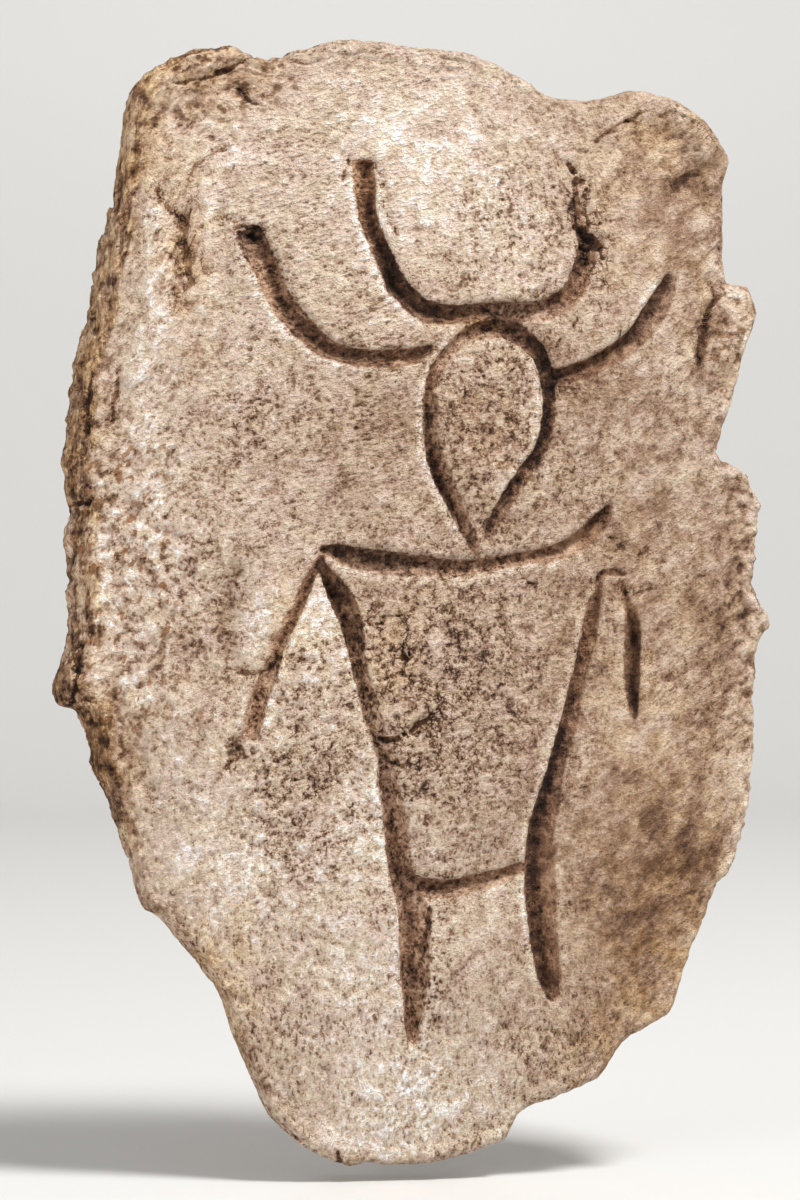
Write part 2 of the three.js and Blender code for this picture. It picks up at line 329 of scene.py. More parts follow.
# %% Groove paths
# Along each groove: x, z and width. Seen along the path, "left" is the left hand. "lean" says how
# far the deepest line lies to the left, -1 to 1, "floor" how dark the floor is, "fade" how much of
# that is lost towards the far edge, "line" how dark the deepest line is, "warm" how reddish, and
# "lips" how pale the right edge is, then the left one. The dark of floor and line is partly wash
# and partly painted shade on the shaded wall, and the pale lips are a painted highlight.
# "square", where given, makes the ends blunt.
GROOVES = {
    "left outer horn": dict(
        lean=(0.5, 0.4, 0.3, 0.3, 0.4, 0.5, 0.5, 0.5, 0.5),
        floor=(1.0, 0.5, 0.5, 1.0, 0.9, 0.9, 0.8, 0.6, 0.7), fade=0.1,
        line=(0.7, 0.7, 0.7, 0.4, 0.4, 0.5, 0.5, 0.6, 0.9),
        warm=(-0.3, 0.2, 0.5, 0.2, 0.1, 0.1, 0.4, 0.6, 0.2),
        lips=((0.6, 0.7, 0.6, 0), (0, 0, 0, 0.1)), square=True, path=[
            (-36.4, 75.8, 5.3), (-35.3, 73, 5.4), (-33.7, 70, 5.1), (-32.1, 65.8, 4.7),
            (-29.6, 61.6, 4.8), (-26.1, 57.5, 4.5), (-22.5, 54.2, 4), (-18.4, 52.3, 3.5),
            (-13, 51.3, 3.4), (-8.8, 51.2, 3.6), (-3.5, 51.9, 3.4), (0.7, 53.4, 1.6)]),
    "inner horns": dict(
        lean=(0.4, 0.4, 0.1, 0, 0.1, 0.4, 0.5, 0.5, 0.3, 0.1, 0.2, 0.2),
        floor=(0.9, 1.1, 1.7, 1.9, 1.4, 0.9, 0.6, 0.5, 0.6, 0.7, 0.6, 0.5), fade=0.2,
        line=(0.9, 0.8, 0.3, 0.2, 0.4, 0.5, 0.4, 0.4, 0.4, 0.5, 0.6, 0.7),
        warm=(1.0, 0.9, 0.3, 0.0, 0.0, 0.0, -0.2, -0.1, 0.2, 0.1, 0.1, 0.4),
        lips=((0.5, 0.7, 0.8, 0.5, 0, 0, 0, 0, 0), (0.6, 0.3, 0, 0.2, 0.2, 0.2, 0.1, 0.2, 0)),
        square=True, path=[
            (-12.9, 91, 4.3), (-12.7, 88, 4.3), (-12.5, 84.7, 3.9), (-12.1, 81, 3.7),
            (-10.3, 76.1, 3.6), (-8.4, 71.7, 3.8), (-6.5, 67.2, 4.2), (-2.4, 62.7, 4.3),
            (0.3, 61.3, 4.4),
            (3.9, 60.8, 4.1), (7.1, 60.8, 3.7), (11.4, 61.4, 3.5), (15.6, 61.6, 3.9), (19.8, 61.6, 4),
            (24.1, 61.9, 3.9), (28.5, 63.4, 4.1), (31.9, 66.3, 4.2), (33.4, 69.6, 4.2),
            (34.6, 73.2, 4), (34.8, 76.6, 3.4), (33.8, 79.7, 2.2), (33, 84, 1.4),
            (32.9, 89.3, 1)]),
    "right outer horn": dict(
        lean=(-0.5, -0.5, -0.6, -0.5), floor=(0.7, 1.0, 0.9, 0.7, 0.6, 0.8), fade=0.3,
        line=(0.3, 0.6, 0.5, 0.5, 0.7, 0.5), warm=(-0.2, -0.3, 0.1, 0.4, 0.5),
        lips=((0.5, 0.5, 0.3), (0, 0, 0)), path=[
            (53.2, 68.6, 3), (51.3, 64.8, 4.3), (48.5, 60.6, 4.5), (45.6, 56.7, 4.1), (42.1, 53.9, 4),
            (38.5, 51.7, 3.6), (34.9, 49.9, 3.5), (31, 48.6, 3.5), (27.6, 47.9, 3)]),
    "head": dict(
        lean=(0.2, 0.1, 0, 0, -0.1, 0, -0.3, -0.5, -0.5, -0.3),
        floor=(0.8, 0.9, 1.1, 1.2, 1.3, 1.2, 0.35, 0.3, 0.4, 0.4, 0.5, 0.7, 0.8), fade=0.3,
        line=(0.2, 0.3, 0.5, 0.7, 0.6, 0.4, 0.2, 0.3, 0.7, 1.0, 0.9, 0.7, 0.5),
        warm=(-0.1, 0.1, 0.5, 0.2, 0.0, 0.1, 0.3, 0.0, 0.0, 0.1),
        lips=((0, 0, 0, 0, 0.1, 0.3, 0.9, 1.0, 0.8, 0.5), (0.6, 0.8, 0.8, 0.5, 0.3, 0.1, 0, 0, 0)),
        path=[
            (13.2, 15.3, 2.3), (15.4, 19.4, 2.8), (17.7, 23.5, 2.9), (20.8, 27.7, 3),
            (23.8, 32, 2.8), (25.2, 36.4, 2.6), (26, 42.7, 2.5), (25.6, 46.9, 2.6),
            (25, 50.3, 2.9), (23.5, 53.4, 3.4), (20.9, 55.8, 3.7), (18.1, 57.4, 3.9),
            (15.6, 57.9, 3.9), (12.4, 57.7, 3.7), (9.2, 56.7, 3.1), (6.5, 54.7, 2.6), (3.9, 52, 2.4),
            (1.8, 49.1, 2.4), (0.8, 45.4, 2.5), (0.5, 41.7, 2.6), (0.5, 37.5, 2.7), (0.9, 33.2, 2.9),
            (1.7, 29.8, 3.2), (3.4, 25.6, 3.5), (5.5, 21.4, 3.3), (7.4, 17.4, 3), (9.1, 13.7, 2.2),
            (10.3, 11.1, 1.4)]),
    "shoulders": dict(
        lean=(0.5, 0.7, 0.6, 0.5), floor=(0.8, 0.8, 0.75, 0.4, 0.25, 0.3, 0.35, 0.3, 0.5, 0.7),
        fade=0.3, line=(0.9, 0.9, 0.7, 0.5, 0.4, 0.4, 0.5, 0.5, 0.3, 0.2),
        warm=(0.1, -0.3, -0.3, 0.1, 0.3, 0.4, 0.3, 0.3),
        lips=((0.3, 0.6, 0.6, 0.6, 0.7, 0.6, 0.1, 0), (0.1, 0.1, 0.2, 0.1)), path=[
            (-22.4, 11.4, 1.8), (-19.4, 10.7, 3.3), (-15.2, 9.5, 4.4), (-9.9, 8.8, 4.5),
            (-5.6, 8.3, 4.3), (-0.3, 7.9, 3.8), (5, 7.5, 3.4), (10.3, 7.7, 3), (15.6, 8.7, 2.5),
            (19.8, 9.5, 2.5), (24.1, 10.1, 2.9), (28.5, 11.2, 3.2), (33.1, 13.5, 3.5),
            (36.6, 16.8, 3.5), (39, 19.7, 2.2)]),
    "left arm": dict(
        lean=(0.5, 0.5, 0.4, 0.2), floor=(0.9, 1.2, 1.1, 0.8, 0.65, 0.5, 0.4, 0.4), fade=0.4,
        line=(0.6, 0.5, 0.4, 0.4, 0.3, 0.2, 0.2, 0.3), warm=(0.5, 0.6, 0.6, 0.4, 0.4, 0.5, 0.3),
        lips=((0, 0, 0), (0.2, 0.4, 0.3)), square=True, path=[
            (-23, 9.2, 1.6), (-25.1, 5, 2.2), (-26.8, 0.8, 2.4), (-28.7, -3.4, 2.5),
            (-31.1, -7.6, 3), (-32.4, -11.8, 2.8), (-33.9, -16, 3.3), (-35.5, -20.2, 3.5),
            (-36.6, -24.6, 3.5), (-37, -26.6, 3.2)]),
    "left side and leg": dict(
        lean=(-0.4, -0.4, 0, 0, -0.2, -0.2, -0.1, -0.1, -0.2),
        floor=(1.3, 1.5, 1.1, 0.5, 0.3, 0.4, 0.6, 0.7, 0.7, 0.6, 0.7, 0.7, 0.8), fade=0.1,
        line=(0.3, 0.4, 0.4, 0.1, 0.1, 0.2, 0.2, 0.2, 0.3, 0.8, 0.8, 0.4, 0.3),
        warm=(0.1, 0.2, 0.1, -0.1, 0.0, 0.3, 0.0, 0.3, 0.2, 0.5),
        lips=((0.5, 0.5, 0.4, 0.4, 0.5, 0.4, 0.4, 0.3), (0, 0, 0, 0, 0, 0.2, 0.2)), path=[
            (-22.6, 8.3, 1.8), (-19.8, 3.9, 3.9), (-18.2, 0.8, 4.6), (-16.3, -3.4, 4.4),
            (-15.6, -7.6, 3.6), (-14.8, -11.8, 2.9), (-14, -16, 2.8), (-12.6, -20.2, 3.3),
            (-11.6, -24.4, 3.4), (-10.2, -28.6, 3.4), (-8.8, -32.8, 3.6), (-8.5, -37, 3.8),
            (-7.7, -41.2, 4.1), (-6.8, -45.4, 4.4), (-6.4, -49.5, 4.6), (-6.1, -53.7, 4.3),
            (-5.1, -57.9, 4.6), (-3.5, -62.3, 5.4), (-2.6, -66.5, 6), (-2.6, -70.7, 5.9),
            (-2.4, -75, 5.5), (-2.3, -79.3, 5.3), (-2.3, -83.6, 4.2), (-2.4, -87.9, 3.5),
            (-2.4, -91.4, 2.3)]),
    "right side and leg": dict(
        lean=(0, 0.1, -0.1, -0.2, -0.3, -0.4, -0.5, -0.5, -0.6, -0.5, -0.2),
        floor=(0.5, 0.6, 0.5, 0.5, 0.7, 0.9, 0.8, 0.6, 0.6, 0.55, 0.6, 0.8, 0.9), fade=0.3,
        line=(0.3, 0.4, 0.4, 0.5, 0.7, 0.9, 1.1, 1.1, 1.0, 0.9, 0.8, 0.6, 0.4),
        warm=(0.3, 0.4, 0.4, 0.1, -0.2, 0.1, 0.2, 0.4, 0.3, 0.2),
        lips=((0.4, 0.5, 0.6, 0.7, 0.8, 0.9, 0.8, 0.6), (0, 0, 0, 0.1, 0.3)), path=[
            (36.9, 4, 1.5), (36.1, 0.8, 2.4), (35.1, -3.4, 3.2), (34.5, -7.6, 3.3),
            (33.5, -11.8, 3), (32.4, -16, 3), (31.4, -20.2, 3.3), (30.5, -24.4, 3.6),
            (29.2, -28.6, 3.7), (28, -32.8, 3.6), (26.9, -37, 3.8), (26, -41.2, 4.6),
            (25, -45.4, 5.2), (24.4, -49.5, 5.7), (24.4, -53.8, 5.9), (24.4, -58, 6.1),
            (24.6, -62.4, 6.1), (25, -66.6, 5.6), (25.5, -70.9, 5.4), (26.2, -75.2, 5.1),
            (27, -79.4, 4.4), (27.8, -83.1, 2.3)]),
    "right shoulder hook": dict(
        lean=(0.3, 0.3), floor=(0.7, 0.7), fade=0, line=(0.5, 0.5), warm=(0.3, 0.3),
        lips=((0.2, 0.3), (0, 0)), path=[
            (36.8, 4.6, 1.4), (37.6, 6.4, 1.5), (40, 6.8, 1.3), (42.9, 6.4, 1)]),
    "right arm": dict(
        lean=(0, 0.2, 0.3), floor=(0.3, 0.3, 0.5, 0.8, 0.9, 0.9, 0.9), fade=0.3,
        line=(0.2, 0.3, 0.4, 0.5, 0.6, 0.8, 0.7), warm=(0.6, 0.5, 0.3, 0.1, -0.1, -0.1),
        lips=((0.1, 0.2, 0.4), (0.1, 0.1)), path=[
            (42, 4.6, 1.4), (42.8, 0.8, 2), (44, -2.4, 2.9), (44.4, -5.5, 3.3),
            (44.4, -8.7, 3.5), (44.2, -11.9, 3.4), (44.3, -16.1, 3.1), (44.6, -20.4, 2.4),
            (44.9, -23.6, 1.4)]),
    "waist": dict(
        lean=(0.5, 0.6), floor=(0.8, 0.8, 0.7, 0.5, 0.35, 0.35), fade=0.3,
        line=(0.5, 0.6, 0.5, 0.4, 0.3), warm=(0.1, 0.2, 0.2, 0.5),
        lips=((0.1, 0.2, 0.3, 0.3), (0, 0)), path=[
            (-6, -56.5, 2), (-2.4, -58.5, 3), (0.7, -59.7, 3.7), (3.9, -59.9, 3.7),
            (7.1, -59.5, 3.5), (11.4, -58.4, 3.1), (15.6, -57.3, 2.8), (20.3, -55.5, 2)]),
}
print("grooves:", len(GROOVES))

# %% [markdown]
# ## How far from a path
# Grooves, cracks and folds all need one measure: how far a point lies from a bent line of changing
# width. A bevelled curve could give each of them a tube to cut out or join on. A distance can be
# shaped more freely, into a wall, a lip, a stain or a soft fold, and it works for a whole array of
# points at once.

# %% Distance from a path
PATH_SAMPLES = 3
ROUND_POWER = 2.0
BLUNT_POWER = 6.0
# The share given to every point that is out of a path's reach
OUT_OF_REACH = 99.0


def near_path(x, z, path, margin, power=ROUND_POWER):
    """For each place: its distance from a path over the path's half width there, that half width,
    on which side it lies, -1 to 1, and how far along, 0 to 1. Past an end the distance is
    (sideways^p + beyond^p)^(1/p), which is round for p = 2 and nearly square for a large p."""
    curve = smooth_path(path, PATH_SAMPLES)
    share = np.full(x.shape, OUT_OF_REACH)
    half, side, progress = np.ones(x.shape), np.zeros(x.shape), np.zeros(x.shape)
    box = ((x > curve[:, 0].min() - margin) & (x < curve[:, 0].max() + margin)
           & (z > curve[:, 1].min() - margin) & (z < curve[:, 1].max() + margin))
    px, pz = x[box][:, None], z[box][:, None]
    start, step = curve[:-1], np.diff(curve, axis=0)
    length = np.hypot(step[:, 0], step[:, 1])
    ahead = ((px - start[:, 0]) * step[:, 0] + (pz - start[:, 1]) * step[:, 1]) / length
    sideways = ((pz - start[:, 1]) * step[:, 0] - (px - start[:, 0]) * step[:, 1]) / length
    beyond = np.maximum(0, np.maximum(-ahead, ahead - length))
    nearest = np.argmin(sideways**2 + beyond**2, axis=1)
    row = np.arange(nearest.size)
    within = np.clip(ahead[row, nearest] / length[nearest], 0, 1)
    half_here = 0.5 * (start[nearest, 2] + within * step[nearest, 2])
    lateral, over = np.abs(sideways[row, nearest]), beyond[row, nearest]
    share[box] = (lateral**power + over**power) ** (1 / power) / half_here
    half[box] = half_here
    side[box] = np.sign(sideways[row, nearest])
    progress[box] = (nearest + within) / len(length)
    return share, half, side, progress


trial = near_path(np.array([3.0]), np.array([1.0]), [(0, 0, 2), (9, 0, 2)], 5)
print("1 mm beside a path 2 mm wide: share, half width, side, progress", np.round(trial, 2).ravel())

# %% [markdown]
# ## Pulling the grid towards the groove walls
# A wall one millimetre wide needs more than one cell across it. Subdividing everything would
# double the mesh; instead the points near each groove slide towards its wall, so the cells are
# narrow where the surface turns and wide where it is flat.

# %% Gather points at the walls
WALL_PULL_REACH = 2.0
WALL_PULL_POWER = 1.45
WALL_PULL_MARGIN = 6.0
NEARLY_NOTHING = 1e-6


def gather_at_walls(x, z):
    """Each point within reach r of a wall moves along the line from the path: its distance t from
    the wall, over r, becomes t^1.45, which narrows the cells there."""
    for groove in GROOVES.values():
        share, half, _, _ = near_path(x, z, groove["path"], WALL_PULL_MARGIN)
        curve = smooth_path(groove["path"], PATH_SAMPLES)
        close = share * half < half + WALL_PULL_REACH
        px, pz = x[close], z[close]
        nearest = np.argmin((px[:, None] - curve[:, 0])**2 + (pz[:, None] - curve[:, 1])**2, axis=1)
        away_x, away_z = px - curve[nearest, 0], pz - curve[nearest, 1]
        distance = np.maximum(np.hypot(away_x, away_z), NEARLY_NOTHING)
        reach = np.minimum(WALL_PULL_REACH, half[close])
        t = np.clip((distance - half[close]) / reach, -1, 1)
        pulled = half[close] + reach * np.sign(t) * np.abs(t)**WALL_PULL_POWER
        factor = np.where(np.abs(t) < 1, pulled / distance, 1)
        x[close] = curve[nearest, 0] + away_x * factor
        z[close] = curve[nearest, 1] + away_z * factor
    return x, z


even_x, even_z = front_x.copy(), front_z.copy()
front_x, front_z = gather_at_walls(front_x, front_z)
moved = np.hypot(front_x - even_x, front_z - even_z)
print("gathered:", np.count_nonzero(moved), "points, by up to", np.round(moved.max(), 2), "mm")

# %% [markdown]
# ## The side wall
# Behind the front's rim the slab rounds over to its widest line and tucks under to the flat
# back. On each ring the surface normal turns from straight out of the wall to straight
# sideways, like a quarter of an ellipse.

# %% Rings round the side
SHOULDER_RINGS = 15
UNDER_RINGS = 4
WIDEST_LINE_DEPTH = 5.0
# How far the back's edge lies inside the outline, and how far past sideways the normal turns there
BACK_INSET = 1.5
UNDER_TURN = 0.3

rim_x, rim_z = front_x[rim], front_z[rim]
rim_depth = thickness(rim_x, rim_z)
ring_radius = []
ring_depth = []
ring_turn = []
edge_radius = outline_radius(rim_angle) + ragged_edge(rim_angle)
for turn in np.linspace(0, np.pi / 2, SHOULDER_RINGS + 1)[1:]:
    ring_radius.append(edge_radius - front_inset(rim_angle) * (1 - np.sin(turn)))
    ring_depth.append(WIDEST_LINE_DEPTH + (rim_depth - WIDEST_LINE_DEPTH) * np.cos(turn))
    ring_turn.append(np.full(rim.size, turn))
for share in np.linspace(0, 1, UNDER_RINGS + 1)[1:]:
    ring_radius.append(edge_radius - BACK_INSET * share**2)
    ring_depth.append(np.full(rim.size, WIDEST_LINE_DEPTH * (1 - share)))
    ring_turn.append(np.full(rim.size, np.pi / 2 * (1 + UNDER_TURN * share)))
ring_radius, ring_depth, ring_turn = map(np.array, (ring_radius, ring_depth, ring_turn))
ring_x = ring_radius * np.cos(rim_angle)
ring_z = ring_radius * np.sin(rim_angle)

x = np.concatenate([front_x, ring_x.ravel()])
z = np.concatenate([front_z, ring_z.ravel()])
depth = np.concatenate([thickness(front_x, front_z), ring_depth.ravel()])
turn = np.concatenate([np.zeros(front_x.size), ring_turn.ravel()])
angle = np.concatenate([grid_angle.ravel(), np.tile(rim_angle, len(ring_radius))])
ring_step = np.hypot(np.diff(ring_radius, axis=0, prepend=(rim_radius.ravel()[rim])[None]),
                     np.diff(ring_depth, axis=0, prepend=rim_depth[None]))
behind_rim = np.cumsum(ring_step, axis=0)
inside_rim = -(1 - grid_reach.ravel()) * rim_radius.ravel()
across = np.concatenate([inside_rim, behind_rim.ravel()])
print("side rings:", len(ring_radius), "deepest path round the rim", np.round(across.max(), 1), "mm")

# %% [markdown]
# ## Cutting the grooves
# Across a groove, s runs from -1 to 1 and the floor is 1 - |s'|^p deep, where s' is s measured
# from the leaning deepest line and p is larger on the steep side. Noise frays the mouth, and a
# low lip stands where the tool pushed material aside; it is also painted pale, a painted highlight.
# The same numbers say later where dark wash and painted shade lie and how reddish they are.

# %% Groove relief
# Noise is read with the depth shortened, so that it changes only slowly towards the wall
DEPTH_SHARE = 0.3
GROOVE_MARGIN = 8.0
# Depth over width, the greatest depth in mm, and the mouth's width over the path's
GROOVE_DEPTH = 0.68
GROOVE_MOST = 2.6
GROOVE_MOUTH = 1.12
# The floor's power p on the steep side, towards which the tool leaned, and on the gentle side
STEEP_POWER = 3.6
GENTLE_POWER = 1.9
# The noise that frays the mouth: its height and size in mm, and its share on the two sides
FRAY = 0.22
FRAY_SIZE = 1.8
STEEP_FRAY = 0.6
GENTLE_FRAY = 1.6
# How slowly the wash and painted shade begin at the gentle edge, how wide the dark deepest line
# is on the two sides, and between which s they end outside the mouth
GENTLE_EDGE = 0.5
STEEP_LINE_WIDTH = 0.8
GENTLE_LINE_WIDTH = 0.35
WASH_END = (1.3, 2.0)
# The lip, raised and painted with a pale highlight: how far outside the mouth it is highest, its
# width, where it starts, in s, and the share of the path over which it comes in at each end
LIP_OUTSIDE = 0.55
LIP_WIDTH = 0.75
LIP_START = 0.9
LIP_END = 0.07
# Distances to a painted edge are stored up to this many mm
FAR = 1.5


def along(numbers, progress):
    """A row of numbers spread evenly over a path and read straight between them."""
    return np.interp(progress, np.linspace(0, 1, len(numbers)), numbers)


places = np.stack([x, DEPTH_SHARE * depth, z], axis=-1)
fray = FRAY * rough_noise(places / FRAY_SIZE, 21, 2)
groove_cut = np.zeros(x.size)
groove_inside = np.full(x.size, -FAR)
groove_dark = np.zeros(x.size)
groove_warm = np.zeros(x.size)
lip = np.zeros(x.size)
for groove in GROOVES.values():
    power = BLUNT_POWER if "square" in groove else ROUND_POWER
    share, half, side, progress = near_path(x, z, groove["path"], GROOVE_MARGIN, power)
    lean = along(groove["lean"], progress)
    gentle = side * lean < 0
    s = share / GROOVE_MOUTH + fray * np.where(gentle, GENTLE_FRAY, STEEP_FRAY) / half
    signed = side * s
    leaned = np.where(signed > lean, (signed - lean) / (1 - lean), (lean - signed) / (1 + lean))
    power = np.where(gentle, GENTLE_POWER, STEEP_POWER)
    deepest = np.minimum(GROOVE_DEPTH * 2 * half, GROOVE_MOST)
    cut = deepest * np.clip(1 - np.abs(leaned)**power, 0, 1)
    groove_cut = np.maximum(groove_cut, np.where(s < 1, cut, 0))
    inside = (1 - s) * half * GROOVE_MOUTH * np.where(gentle, GENTLE_EDGE, 1)
    groove_inside = np.maximum(groove_inside, np.clip(inside, -FAR, FAR))
    # Dark wash in the groove, partly painted shade: darkest along the deepest line
    dark = along(groove["floor"], progress) * (1 - groove["fade"] * gentle * ease(0.1, 1.0, leaned))
    line_width = np.where(gentle, GENTLE_LINE_WIDTH, STEEP_LINE_WIDTH)
    dark = dark + along(groove["line"], progress) * np.exp(-(leaned / line_width)**2)
    dark = dark * (1 - ease(*WASH_END, s))
    groove_warm = np.where(dark > groove_dark, along(groove["warm"], progress), groove_warm)
    groove_dark = np.maximum(groove_dark, dark)
    # The lip's pale paint is a painted highlight along the groove's edge
    pale = np.where(side < 0, along(groove["lips"][0], progress), along(groove["lips"][1], progress))
    pale = pale * ease(0, LIP_END, progress) * ease(0, LIP_END, 1 - progress)
    ridge = np.exp(-(((s - 1) * half - LIP_OUTSIDE) / LIP_WIDTH)**2)
    lip = np.maximum(lip, np.where(s > LIP_START, pale * ridge, 0))
lip = lip * (1 - ease(-0.3, 0.3, groove_inside))
print("deepest groove:", np.round(groove_cut.max(), 1), "mm")

# %% [markdown]
# ## Named cracks
# Noise makes good crumbs but poor landmarks. The cracks, creases and crevices that anyone would
# recognise are short paths of their own. They could be drawn as grooves are, but a tool's line is
# smooth and a crack isn't: here the places are first pushed about by noise, so each path wanders,
# and its width comes and goes.

